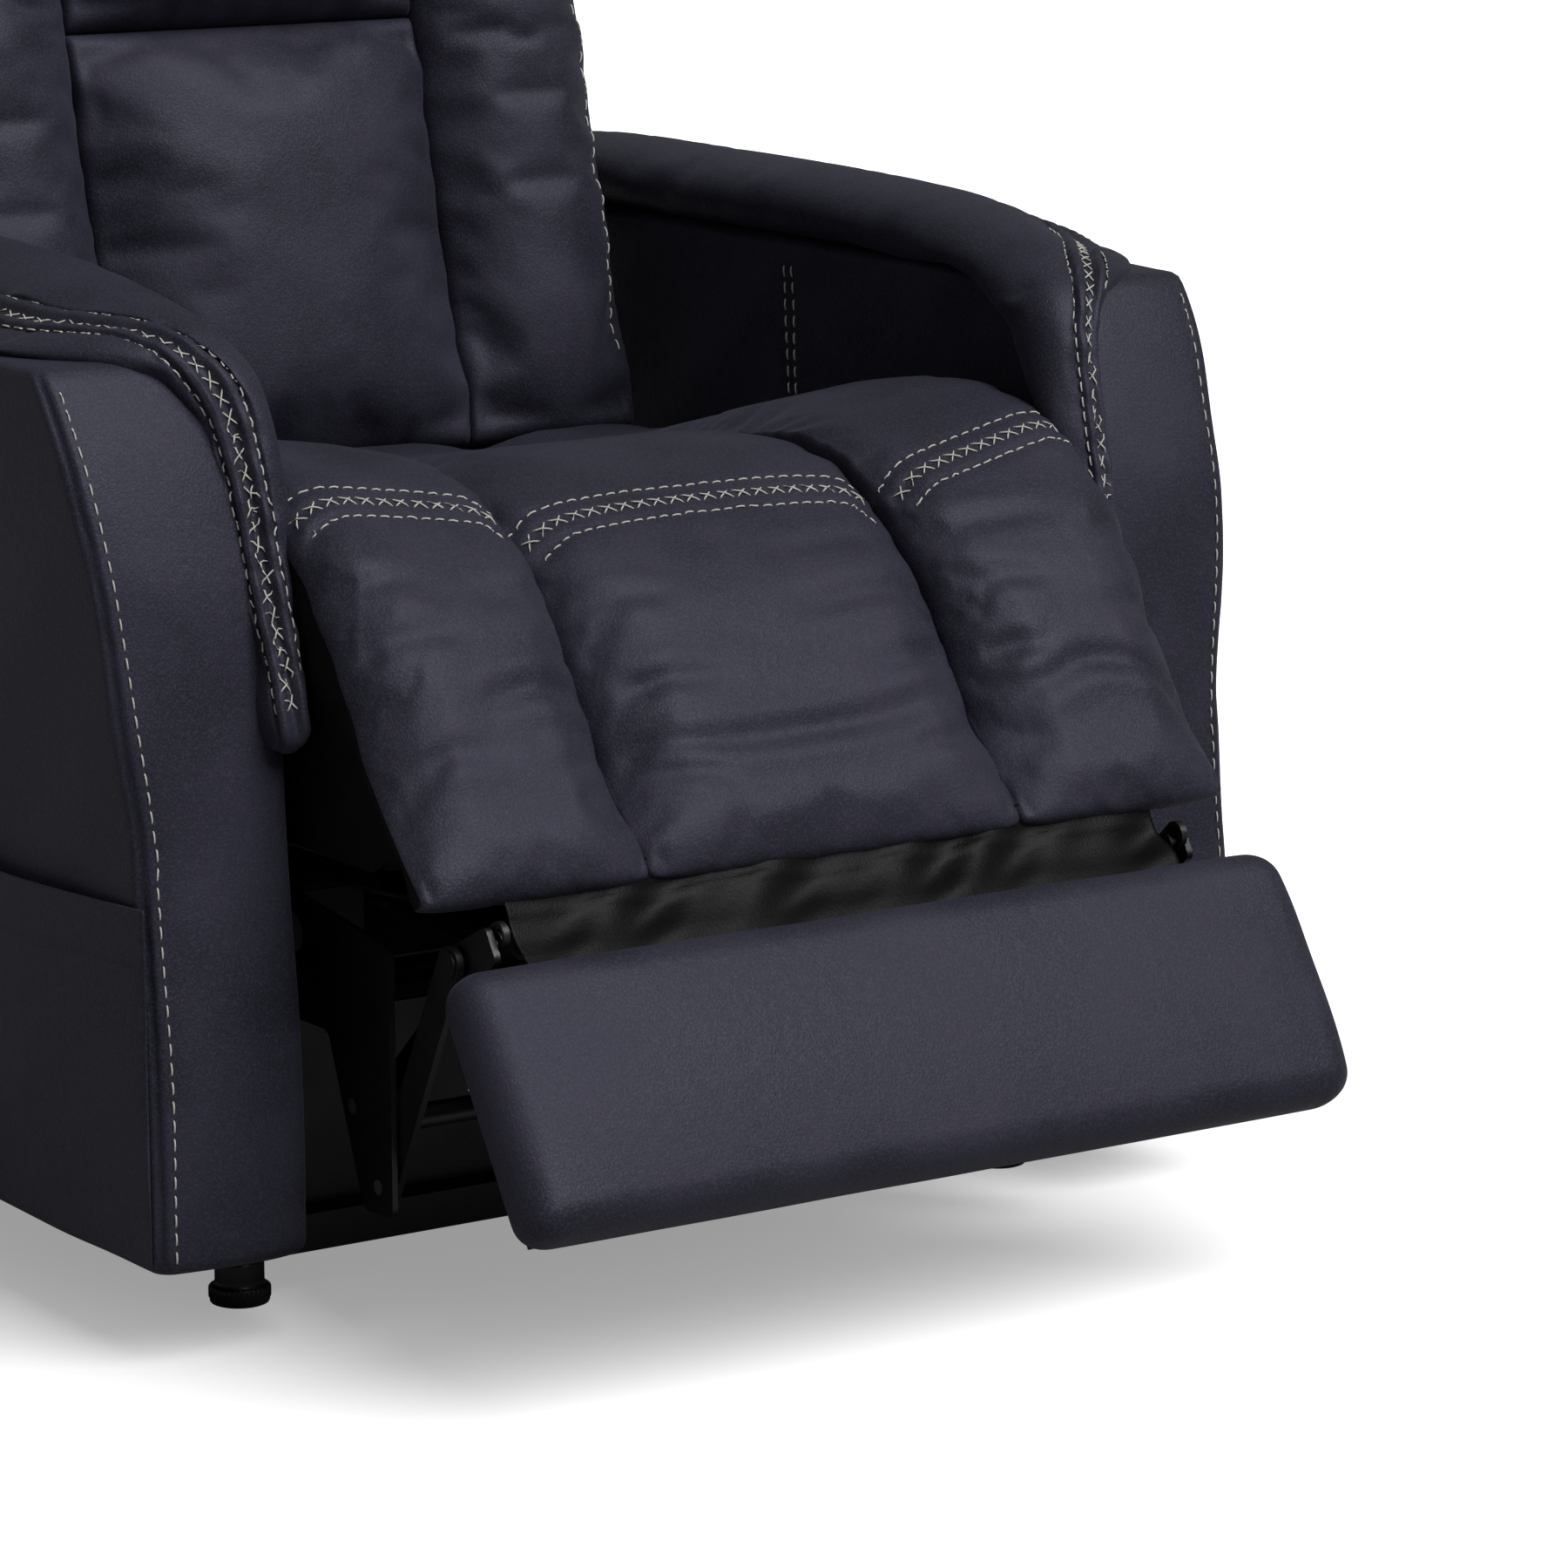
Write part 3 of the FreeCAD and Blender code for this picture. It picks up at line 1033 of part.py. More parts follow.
# Cable from the power box, forward under the seat and back into the footrest motor: straight runs joined by arcs
ROUTE = [(-247, 0, 267), (-247, -46, 267), (-254, -104, 283), (-255, -164, 287), (-250, -222, 284),
         (-240, -272, 277), (-222, -294, 270), (-200, -294, 263), (-184, -272, 256), (-182, -229, 248),
         (-187, -184, 240)]
motor_front = size("push_tube_back") - 47 * math.cos(math.radians(4.7)) - size("motor_radius") - 0.7
spots = [vector(x, size("box_back") + back, high) for x, back, high in ROUTE]
spots.append(vector(-190, motor_front, size("push_tube_high") - 4))
pieces, radii, start = [], [], spots[0]
for before, here, after in zip(spots, spots[1:], spots[2:]):
    leave, go = (here - before).normalize(), (after - here).normalize()
    half_turn = leave.getAngle(go) / 2
    reach_in = 0.45 * min((here - before).Length, (after - here).Length)
    radii.append(reach_in / math.tan(half_turn))
    first, last = here - leave * reach_in, here + go * reach_in
    middle_way = ((first - here).normalize() + (last - here).normalize()).normalize()
    middle = here + middle_way * (radii[-1] / math.cos(half_turn) - radii[-1])
    pieces.append(Part.LineSegment(start, first).toShape())
    pieces.append(Part.Arc(first, middle, last).toShape())
    start = last
pieces.append(Part.LineSegment(start, spots[-1]).toShape())
path = Part.Wire(pieces)
ring = Part.Wire(Part.makeCircle(size("cable_radius"), spots[0], spots[1] - spots[0]))
cable = path.makePipeShell([ring], True, False)
print("cable: length %.1f, least radius %.1f, volume over section times length %.4f"
      % (path.Length, min(radii), cable.Volume / (path.Length * math.pi * size("cable_radius") ** 2)))
solid("power_cable", cable)

# Panel between the arms that closes the chair behind
keep(box("rear_panel_board", "-arm_inner", "arm_rear_back - panel_thick - 4", "panel_low", "2 * arm_inner",
         "panel_thick", "panel_high - panel_low"), "rear_panel")

# Handset: a slim case with four sprung buttons, standing in the side pocket
case_x = -size("arm_outer") - size("handset_deep") - 0.4
handset_low = size("pocket_low") + size("cloth") + size("side_gap")
case = Part.makeBox(size("handset_deep"), size("handset_wide"), size("handset_long"),
                    vector(case_x, size("handset_back") - size("handset_wide") / 2, handset_low))
case = case.makeFillet(4, [e for e in case.Edges if e.Length > 40])
BUTTONS = [("lift_button", -1, 0), ("lower_button", 1, 0), ("recline_button", -1, 1), ("upright_button", 1, 1)]
wells = []
for label, column, row in BUTTONS:
    back = size("handset_back") + column * 11.5
    high = handset_low + size("handset_long") - 20 - row * 18
    wide, tall_here = size("button_wide"), size("button_tall")
    deep = size("button_proud") + 2.2
    proud_x = case_x - size("button_proud")
    cap = Part.makeBox(deep, wide, tall_here, vector(proud_x, back - wide / 2, high - tall_here / 2))
    cap = cap.makeFillet(1.2, [e for e in cap.Edges if e.BoundBox.XMax < proud_x + 0.1])
    well = Part.makeBox(2.2 + size("button_travel") + 0.3, wide + 0.6, tall_here + 0.6,
                        vector(case_x, back - wide / 2 - 0.3, high - tall_here / 2 - 0.3))
    wells.append(well)
    solid(label, cap)
solid("handset_case", case.cut(wells).removeSplitter())

doc.recompute()

faults = []
for thing in doc.Objects:
    if "Invalid" in thing.State or "Error" in thing.State:
        faults.append("%s: %s" % (thing.Label, thing.State))
for piece in PARTS:
    if piece.Shape.isNull() or not piece.Shape.isValid():
        faults.append("%s has no valid shape" % piece.Label)
if faults:
    raise SystemExit("\n".join(faults))

os.makedirs("parts", exist_ok=True)
for piece in PARTS:
    piece.Shape.exportStep(os.path.join("parts", piece.Label + ".step"))
print("pieces:", len(PARTS))
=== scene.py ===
import math
import random

import bmesh
import bpy
import numpy as np
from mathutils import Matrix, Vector
from mathutils.bvhtree import BVHTree


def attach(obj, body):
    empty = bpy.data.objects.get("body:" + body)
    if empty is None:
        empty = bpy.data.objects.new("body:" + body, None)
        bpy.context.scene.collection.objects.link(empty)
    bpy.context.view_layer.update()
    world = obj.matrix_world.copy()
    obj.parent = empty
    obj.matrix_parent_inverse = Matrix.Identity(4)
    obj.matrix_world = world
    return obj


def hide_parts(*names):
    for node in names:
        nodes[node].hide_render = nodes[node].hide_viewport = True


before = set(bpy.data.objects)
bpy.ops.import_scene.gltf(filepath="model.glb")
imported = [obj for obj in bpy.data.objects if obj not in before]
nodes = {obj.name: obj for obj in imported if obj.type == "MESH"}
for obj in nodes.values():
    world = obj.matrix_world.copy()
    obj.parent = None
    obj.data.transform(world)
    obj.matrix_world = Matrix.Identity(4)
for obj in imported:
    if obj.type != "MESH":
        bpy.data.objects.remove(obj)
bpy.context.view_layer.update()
scene = bpy.context.scene

# Camera
# A long lens four metres off, a little above the arms, that looks down past the sitter's right arm at the
# seat and the footrest. The chair's back runs out of the frame's top.
CAMERA_DIP = 11.7
CAMERA_TURN = -34.2
camera_data = bpy.data.cameras.new("camera")
camera_data.sensor_width = 36
camera_data.lens = 140
camera_data.clip_end = 60
camera = bpy.data.objects.new("camera", camera_data)
scene.collection.objects.link(camera)
camera.location = (-2.1498, -3.5309, 1.1298)
camera.rotation_euler = (math.radians(90 - CAMERA_DIP), 0, math.radians(CAMERA_TURN))
scene.camera = camera
scene.view_settings.view_transform = "Standard"


# Power cable
# A round two-core cable in a soft black jacket. It comes out of the front of the power box, hangs in a low
# bow under the seat's front and goes into the footrest actuator's motor. Places here and below count from
# the arms' fronts, which stand this many millimetres ahead of the frame's middle.
MIDDLE_BACK = 303


def spot(side, back, high):
    """A place in millimetres: to the sitter's left, back from the arms' fronts, and up from the floor."""
    return Vector((side, back - MIDDLE_BACK, high)) / 1000


class Strand:
    """A number, colour or direction on its way through a finish. Numbers add up by the usual signs."""

    def __init__(self, finish, socket):
        self.finish = finish
        self.socket = socket

    def reckon(self, operation, *terms):
        return self.finish.node("ShaderNodeMath", {"operation": operation}, dict(enumerate(terms)))

    def __add__(self, other):
        return self.reckon("ADD", self, other)

    def __sub__(self, other):
        return self.reckon("SUBTRACT", self, other)

    def __rsub__(self, other):
        return self.reckon("SUBTRACT", other, self)

    def __mul__(self, other):
        return self.reckon("MULTIPLY", self, other)

    __radd__ = __add__
    __rmul__ = __mul__


class Finish:
    """A surface finish: one shader, and one way in which every other node of it is made."""

    def __init__(self, name, **plain):
        self.material = bpy.data.materials.new(name)
        self.material.use_nodes = True
        self.tree = self.material.node_tree
        self.shader = self.tree.nodes["Principled BSDF"]
        self.wear(plain)
        self.place = self.node("ShaderNodeTexCoord", out="Object")

    def feed(self, socket, value):
        if isinstance(value, Strand):
            self.tree.links.new(value.socket, socket)
        elif socket.type == "RGBA" and len(value) == 3:
            socket.default_value = (*value, 1)
        else:
            socket.default_value = value

    def wear(self, values):
        """Sets sockets of the shader by their names."""
        for name, value in values.items():
            self.feed(self.shader.inputs[name.replace("_", " ")], value)

    def node(self, kind, settings=None, values=None, out=0):
        node = self.tree.nodes.new(kind)
        for name, value in (settings or {}).items():
            setattr(node, name, value)
        for name, value in (values or {}).items():
            self.feed(node.inputs[name], value)
        return Strand(self, node.outputs[out])

    def noise(self, scale, detail=2.0, stretch=(1, 1, 1)):
        """Cloudy values of about 0.5; scale is in clouds per metre."""
        place = self.node("ShaderNodeMapping", None, {"Vector": self.place, "Scale": stretch})
        return self.node("ShaderNodeTexNoise", None,
                         {"Vector": place, "Scale": scale, "Detail": detail, "Roughness": 0.5})

    def blend(self, share, low, high):
        """A colour between two, at that share."""
        return self.node("ShaderNodeMix", {"data_type": "RGBA"}, {0: share, 6: low, 7: high}, out=2)

    def between(self, value, low, high):
        """0 below low, 1 above high, smooth in between."""
        return self.node("ShaderNodeMapRange", {"interpolation_type": "SMOOTHSTEP"},
                         {"Value": value, "From Min": low, "From Max": high})

    def emboss(self, height, distance):
        """Raises the surface by height times distance, in metres."""
        bump = self.node("ShaderNodeBump", None, {"Strength": 1.0, "Distance": distance, "Height": height})
        self.wear({"Normal": bump})


def moulded(name, colour, roughness, grain=0.00006):
    """Moulded plastic: an even colour with faint clouds, and a fine spark-eroded grain."""
    finish = Finish(name, Specular_IOR_Level=0.35)
    cloud = finish.between(finish.noise(14, 4), 0.35, 0.7)
    dark = tuple(c * 0.8 for c in colour)
    pale = tuple(c * 1.2 for c in colour)
    finish.wear({"Base Color": finish.blend(cloud, dark, pale),
                 "Roughness": roughness + 0.12 * finish.noise(60, 3)})
    finish.emboss(finish.noise(1500, 2), grain)
    return finish.material


cable_points = [(-247, 366, 267), (-247, 320, 267), (-254, 262, 283), (-255, 202, 287), (-250, 144, 284),
                (-240, 94, 277), (-222, 72, 270), (-200, 72, 263), (-184, 94, 256), (-182, 137, 248),
                (-187, 182, 240), (-190, 225.5, 236)]
cable_curve = bpy.data.curves.new("power_cable", "CURVE")
cable_curve.dimensions = "3D"
cable_curve.bevel_depth = 0.0025
cable_curve.bevel_resolution = 4
cable_curve.resolution_u = 12
cable_line = cable_curve.splines.new("NURBS")
cable_line.points.add(len(cable_points) - 1)
for point, place in zip(cable_line.points, cable_points):
    point.co = (*spot(*place), 1)
cable_line.order_u = 3
cable_line.use_endpoint_u = True
cable = bpy.data.objects.new("power_cable_line", cable_curve)
scene.collection.objects.link(cable)
jacket = moulded("cable_jacket", (0.012, 0.012, 0.013), 0.4)
cable_curve.materials.append(jacket)
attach(cable, "chassis")
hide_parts("power_cable")
spot(*cable_points[0])

# Studio floor and lamps
# A plain pale sweep and one broad lamp, high in front on the sitter's left. A dim even sky fills the shade.
# The sweep and the sky show to the camera as plain white away from the chair. Toward the chair the sweep's
# camera-only glow fades to about a third, which paints a soft shade round the chair on top of its cast
# shadow.
SHADE_LIGHT = 0.17
sweep = bpy.data.meshes.new("floor")
sweep.from_pydata([(-9, -7, 0), (9, -7, 0), (9, 13, 0), (-9, 13, 0)], [], [(0, 1, 2, 3)])
floor = bpy.data.objects.new("floor", sweep)
scene.collection.objects.link(floor)
floor_finish = Finish("floor", Roughness=0.9, Specular_IOR_Level=0.1)
seen_floor = floor_finish.node("ShaderNodeLightPath")
paper = floor_finish.blend(floor_finish.noise(0.7), (0.64, 0.64, 0.64), (0.68, 0.68, 0.68))
away = floor_finish.node("ShaderNodeVectorMath", {"operation": "DISTANCE"},
                         {0: floor_finish.place, 1: (-0.05, 0.1, 0)}, out=1)
# Painted shade: the camera-only glow is a third as strong near the chair as far from it, so the floor round
# the chair reads darker.
backdrop_glow_and_painted_shade = floor_finish.blend(floor_finish.between(away, 0.3, 1.25), (0.32, 0.32, 0.32), (1.0, 1.0, 1.0))
floor_finish.wear({"Base Color": floor_finish.blend(seen_floor, (0.3, 0.3, 0.3), paper),
                   "Emission Color": floor_finish.blend(seen_floor, (0, 0, 0), backdrop_glow_and_painted_shade),
                   "Emission Strength": 1.0})
sweep.materials.append(floor_finish.material)


class Sky(Finish):
    """The sky's light, put together by the same method as a finish."""

    def __init__(self, name):
        world = bpy.data.worlds.new(name)
        world.use_nodes = True
        scene.world = world
        self.tree = world.node_tree
        self.shader = self.tree.nodes["Background"]


sky = Sky("studio")
seen_sky = sky.node("ShaderNodeMath", {"operation": "MAXIMUM"},
                    {0: sky.node("ShaderNodeLightPath", out="Is Camera Ray"),
                     1: sky.node("ShaderNodeLightPath", out="Is Transmission Ray")})
sky_level = sky.node("ShaderNodeMix", None, {0: seen_sky, 2: SHADE_LIGHT, 3: 1.0})
sky.wear({"Color": (1, 1, 1), "Strength": sky_level})

lamp_data = bpy.data.lights.new("key_lamp", "SUN")
lamp_data.energy = 3.2
lamp_data.angle = math.radians(44)
lamp = bpy.data.objects.new("key_lamp", lamp_data)
scene.collection.objects.link(lamp)
lamp.rotation_euler = (math.radians(40), 0, math.radians(18))


# Floor base
# Square steel tube, welded: two cross rails between two side rails with pivot ears, a tall plate for the lift
# actuator, and a plate on the rear rail. Powder coated black, a little dusty.
def coated(name, colour, roughness):
    """Black powder coat on steel: fine orange peel, cloudy dust, faint specks."""
    finish = Finish(name, Specular_IOR_Level=0.5)
    dust = finish.between(finish.noise(9, 5), 0.45, 0.8)
    speck = finish.between(finish.noise(420, 2), 0.66, 0.72)
    body = finish.blend(dust * 0.6, colour, tuple(c * 2.0 + 0.001 for c in colour))
    finish.wear({"Base Color": finish.blend(speck * 0.5, body, (0.03, 0.03, 0.029)),
                 "Roughness": roughness + 0.2 * finish.noise(35, 4)})
    finish.emboss(finish.noise(700, 3), 0.00012)
    return finish.material


def dress(material, *names):
    """Gives CAD nodes their finish."""
    for name in names:
        nodes[name].data.materials.clear()
        nodes[name].data.materials.append(material)


frame_paint = coated("frame_paint", (0.0035, 0.0035, 0.0036), 0.34)
dress(frame_paint, "front_rail", "rear_rail", "side_rail_left", "side_rail_right", "front_riser_plate")
cap_plastic = moulded("cap_plastic", (0.007, 0.007, 0.0075), 0.5)
dress(cap_plastic, "rail_end_caps")


# Levelling feet
# Black nylon feet screwed up into the rails: a knurled disc to turn by hand, and a stout collar above it.
# Only what is wider than KNURL_FROM gets teeth.
KNURL_FROM = 19.7
LEVEL_SIDE = 304
LEVEL_BACKS = (115.5, 627.5)


def revolve(profile, centre, steps, ripple, teeth):
    """Places and faces of a form turned about an upright axis; ripple cuts that many teeth into its rim."""
    places = []
    faces = []
    for index in range(steps):
        turn = 2 * math.pi * index / steps
        for radius, high in profile:
            reach = radius - (ripple * 0.5 * (1 - math.cos(teeth * turn)) if radius > KNURL_FROM else 0)
            places.append(centre + Vector((reach * math.cos(turn), reach * math.sin(turn), high)) / 1000)
    count = len(profile)
    for index in range(steps):
        after = (index + 1) % steps
        for place in range(count - 1):
            faces.append((index * count + place, after * count + place, after * count + place + 1,
                          index * count + place + 1))
    return places, faces


def build(name, places, faces, finish, body):
    """A new piece in the frame, riding on its body."""
    mesh = bpy.data.meshes.new(name)
    mesh.from_pydata([tuple(place) for place in places], [], faces)
    work = bmesh.new()
    work.from_mesh(mesh)
    bmesh.ops.remove_doubles(work, verts=work.verts, dist=0.00001)
    bmesh.ops.recalc_face_normals(work, faces=work.faces)
    work.to_mesh(mesh)
    work.free()
    mesh.materials.append(finish)
    for polygon in mesh.polygons:
        polygon.use_smooth = True
    piece = bpy.data.objects.new(name, mesh)
    scene.collection.objects.link(piece)
    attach(piece, body)
    return piece


def add_form(places, faces, more_places, more_faces):
    """Adds a form to lists of places and faces."""
    start = len(places)
    places.extend(more_places)
    faces.extend(tuple(index + start for index in face) for face in more_faces)


foot_profile = [(0, 0), (17.6, 0), (19, 0.6), (19.6, 1.8), (19.6, 3.4), (20.4, 4.2), (20.4, 10.6),
                (19.6, 11.6), (18.2, 12.2), (17, 12.8), (16.4, 14.2), (16.2, 16), (16.2, 26.4), (15.6, 28.2),
                (14.6, 29), (0, 29)]
foot_places = []
foot_faces = []
for side in (-LEVEL_SIDE, LEVEL_SIDE):
    for back in LEVEL_BACKS:
        add_form(foot_places, foot_faces, *revolve(foot_profile, spot(side, back, 0), 180, 1.1, 36))
foot_nylon = moulded("foot_nylon", (0.006, 0.006, 0.0065), 0.36)
feet = build("levelling_foot_discs", foot_places, foot_faces, foot_nylon, "base")
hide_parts("levelling_feet")


def bright(name, colour, roughness):
    """Zinc plated steel: cloudy grey, fine turning marks."""
    finish = Finish(name, Metallic=1.0)
    cloud = finish.between(finish.noise(70, 3), 0.3, 0.7)
    finish.wear({"Base Color": finish.blend(cloud, tuple(c * 0.75 for c in colour), colour),
                 "Roughness": roughness + 0.15 * finish.noise(260, 3)})
    finish.emboss(finish.noise(900, 2, (1, 1, 6)), 0.00005)
    return finish.material


zinc = bright("zinc_plate", (0.56, 0.56, 0.54), 0.3)

# Lift linkage, seat chassis and their pins
# Pressed steel links and side plates with folded flanges, black like the base; zinc pins through them, and
# teal nylon washers at the joints that turn most. They are cut, pierced and riveted up before the covering.
link_paint = coated("link_paint", (0.004, 0.004, 0.0042), 0.28)
dress(link_paint, "lift_link_tube", "push_tube", "arm_brackets", "back_brackets", "back_straps", "back_lever",
      "footrest_swing_frame")
for side in ("left", "right"):
    dress(link_paint, "rear_lift_link_" + side, "front_lift_link_" + side, "chassis_plate_" + side,
          "footrest_drag_link_" + side, "footrest_bracket_" + side)
dress(zinc, "base_pivot_pins", "chassis_pivot_pins")
washer = Finish("teal_nylon", Specular_IOR_Level=0.4)
washer.wear({"Base Color": washer.blend(washer.noise(90, 3), (0.012, 0.12, 0.10), (0.02, 0.20, 0.165)),
             "Roughness": 0.35 + 0.1 * washer.noise(200, 2)})
washer.emboss(washer.noise(1200, 2), 0.00004)
dress(washer.material, "nylon_bushes")

# Actuators
# Three linear drives: a black moulded gearbox, tube and motor, and a chromed steel rod with an eye at its
# end. One pushes the lift, one swings the footrest, one tips the back.
drive_plastic = moulded("drive_plastic", (0.005, 0.005, 0.0055), 0.45)
rod_steel = bright("rod_steel", (0.62, 0.62, 0.61), 0.18)
for drive in ("lift", "leg", "recline"):
    dress(drive_plastic, drive + "_actuator_housing")
    dress(rod_steel, drive + "_actuator_rod")

# Power box
# A small black moulded case screwed to the inner side of the chassis plate. It holds the control board and
# feeds all three drives.
dress(moulded("box_plastic", (0.013, 0.013, 0.014), 0.55), "power_box")


# Hidden woodwork
# Seat frame, back frame and footrest board: hardwood and birch plywood, cut square and stained dark, so that
# no pale edge shows in the gaps between the cushions.
def timber(name, pale, dark, grain_way):
    """Stained wood: long grain, pores, and faint bands across it."""
    finish = Finish(name, Specular_IOR_Level=0.25)
    long = finish.noise(22, 6, grain_way)
    pores = finish.between(finish.noise(260, 3, grain_way), 0.58, 0.75)
    body = finish.blend(finish.between(long, 0.3, 0.7), pale, dark)
    finish.wear({"Base Color": finish.blend(pores * 0.5, body, tuple(c * 0.45 for c in dark)),
                 "Roughness": 0.55 + 0.2 * long})
    finish.emboss(long + pores * -0.6, 0.0003)
    return finish.material


dress(timber("seat_hardwood", (0.014, 0.010, 0.008), (0.008, 0.006, 0.005), (6, 0.6, 6)), "seat_frame")
dress(timber("back_plywood", (0.015, 0.011, 0.009), (0.009, 0.007, 0.006), (6, 6, 0.6)), "back_frame")
dress(timber("footrest_plywood", (0.02, 0.015, 0.012), (0.012, 0.009, 0.007), (0.6, 6, 6)), "footrest_board")


# Upholstery cover
# Near-black navy synthetic suede with a short soft nap: matt, finely grained, a little paler in broad clouds.
# It is cut and sewn to the shape of each cushion, pad, arm and panel, and stapled to the wood behind.
def cover(name):
    finish = Finish(name, Specular_IOR_Level=0.25, Sheen_Weight=0.06, Sheen_Roughness=0.4)
    finish.wear({"Sheen_Tint": (0.7, 0.75, 1.0), "Specular_Tint": (0.8, 0.8, 1.0)})
    cloud = finish.between(finish.noise(11, 5), 0.3, 0.72)
    nap = finish.noise(650, 2)
    weave = finish.noise(1100, 2, (1, 1, 0.35))
    pale = (0.0232, 0.0225, 0.0345)
    body = finish.blend(cloud, (0.0125, 0.0122, 0.0190), pale)
    flecked = finish.blend(finish.between(nap, 0.42, 0.7) * 0.55, body, tuple(c * 1.7 for c in pale))
    finish.wear({"Base Color": flecked, "Roughness": 0.5 + 0.12 * cloud - 0.06 * nap})
    finish.emboss(nap * 0.6 + weave * 0.5 + finish.noise(90, 3) * 0.8, 0.00045)
    return finish.material


suede = cover("navy_suede")


# Seat webbing
# Flat polypropylene straps stapled over the seat frame, a little slack between the boards, that carry the
# stuffing. Each is a tube of STRAP_STEPS stretches. STRAP_EDGE is its section: places across and up.
STRAP_COUNT = 7
STRAP_RUN = 558.0 / STRAP_COUNT
STRAP_HALF = 254.6
STRAP_FOOT = 338.6
STRAP_STEPS = 32
STRAP_EDGE = ((-24, 0.1), (-23, 1.4), (-8, 1.5), (8, 1.5), (23, 1.4), (24, 0.1), (8, 0), (-8, 0))


def places_of(piece):
    flat = np.empty(len(piece.data.vertices) * 3)
    piece.data.vertices.foreach_get("co", flat)
    return flat.reshape(-1, 3)


def move_to(piece, places):
    piece.data.vertices.foreach_set("co", np.ascontiguousarray(places).ravel())
    piece.data.update()


def normals_of(piece):
    flat = np.empty(len(piece.data.vertices) * 3)
    piece.data.vertices.foreach_get("normal", flat)
    return flat.reshape(-1, 3)


def tube_faces(rings, count, start=0):
    """Faces of a tube of rings with count places each, closed at both ends."""
    faces = []
    for ring in range(rings - 1):
        low = start + ring * count
        for index in range(count):
            after = (index + 1) % count
            faces.append((low + index, low + after, low + count + after, low + count + index))
    faces.append(tuple(range(start, start + count)))
    faces.append(tuple(range(start + (rings - 1) * count, start + rings * count)))
    return faces


strap_finish = Finish("webbing", Specular_IOR_Level=0.2)
ribs = strap_finish.node("ShaderNodeTexWave", {"wave_type": "BANDS", "bands_direction": "X"},
                         {"Vector": strap_finish.place, "Scale": 140.0, "Distortion": 0.6})
strap_finish.wear({"Base Color": strap_finish.blend(ribs, (0.02, 0.02, 0.021), (0.07, 0.07, 0.072)),
                   "Roughness": 0.6 + 0.1 * ribs})
strap_finish.emboss(ribs + strap_finish.noise(800, 2) * 0.4, 0.0003)
strap_places = []
strap_faces = []
for index in range(STRAP_COUNT):
    middle = 2 + (index + 0.5) * STRAP_RUN
    strap_faces += tube_faces(STRAP_STEPS + 1, len(STRAP_EDGE), len(strap_places))
    for step in range(STRAP_STEPS + 1):
        side = -STRAP_HALF + 2 * STRAP_HALF * step / STRAP_STEPS
        slack = -1.4 * math.sin(math.pi * step / STRAP_STEPS) ** 0.5 if 1 < step < STRAP_STEPS - 1 else 0
        for across, thick in STRAP_EDGE:
            strap_places.append(spot(side, middle + across, STRAP_FOOT + thick + slack))
straps = build("seat_straps", strap_places, strap_faces, strap_finish.material, "chassis")
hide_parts("seat_webbing")


# Seat
# Three stuffed panels sewn side by side, a centre and two higher bolsters. Each falls over the front in one
# roll and is pulled in hard at its seams; a flat stitched band crosses all three at the top of the fall.
def ramp(value, start, width):
    """0 up to start, then evenly up to 1 over width."""
    return np.clip((value - start) / width, 0, 1)


def line_through(corners):
    """A smooth line through points: gives its place at each share of its length."""
    corners = np.array(corners, float)
    reach = np.vstack([2 * corners[0] - corners[1], corners, 2 * corners[-1] - corners[-2]])
    dense = []
    share = np.linspace(0, 1, 20, endpoint=False)[:, None]
    for index in range(len(corners) - 1):
        a, b, c, d = reach[index:index + 4]
        dense.append(0.5 * (2 * b + (c - a) * share + (2 * a - 5 * b + 4 * c - d) * share ** 2
                            + (3 * b - a - 3 * c + d) * share ** 3))
    dense = np.vstack(dense + [corners[-1:]])
    run = np.r_[0, np.cumsum(np.linalg.norm(np.diff(dense, axis=0), axis=1))]

    def at(part):
        return np.array([np.interp(np.asarray(part) * run[-1], run, column) for column in dense.T]).T

    at.length = run[-1]
    return at


def stuffed_block(counts, shape):
    """Skin of a six-sided stuffed form. shape gives the place in millimetres of each (across, along,
    through)."""
    across, along, through = counts
    index_of = {}
    shares = []

    def corner(i, j, k):
        if (i, j, k) not in index_of:
            index_of[i, j, k] = len(shares)
            shares.append((i / across, j / along, k / through))
        return index_of[i, j, k]

    def face(i, j, k, first, second):
        both = [a + b for a, b in zip(first, second)]
        return tuple(corner(i + a, j + b, k + c) for a, b, c in ((0, 0, 0), first, both, second))

    faces = []
    for i in range(across):
        for j in range(along):
            faces += [face(i, j, k, (1, 0, 0), (0, 1, 0)) for k in (0, through)]
        for k in range(through):
            faces += [face(i, j, k, (1, 0, 0), (0, 0, 1)) for j in (0, along)]
    for j in range(along):
        for k in range(through):
            faces += [face(i, j, k, (0, 1, 0), (0, 0, 1)) for i in (0, across)]
    shares = np.array(shares)
    places = shape(*shares.T)
    places[:, 1] -= MIDDLE_BACK
    return places / 1000, faces, shares


def keep_shares(piece, shares):
    """Stores where on its form each point lies, so that seams find it again after the mesh is refined."""
    layer = piece.data.attributes.new("shares", "FLOAT_VECTOR", "POINT")
    layer.data.foreach_set("vector", np.ascontiguousarray(shares, dtype=np.float32).ravel())


def shares_of(piece):
    flat = np.empty(len(piece.data.vertices) * 3, np.float32)
    piece.data.attributes["shares"].data.foreach_get("vector", flat)
    return flat.reshape(-1, 3).astype(float)


SWELL_FRAMES = 20


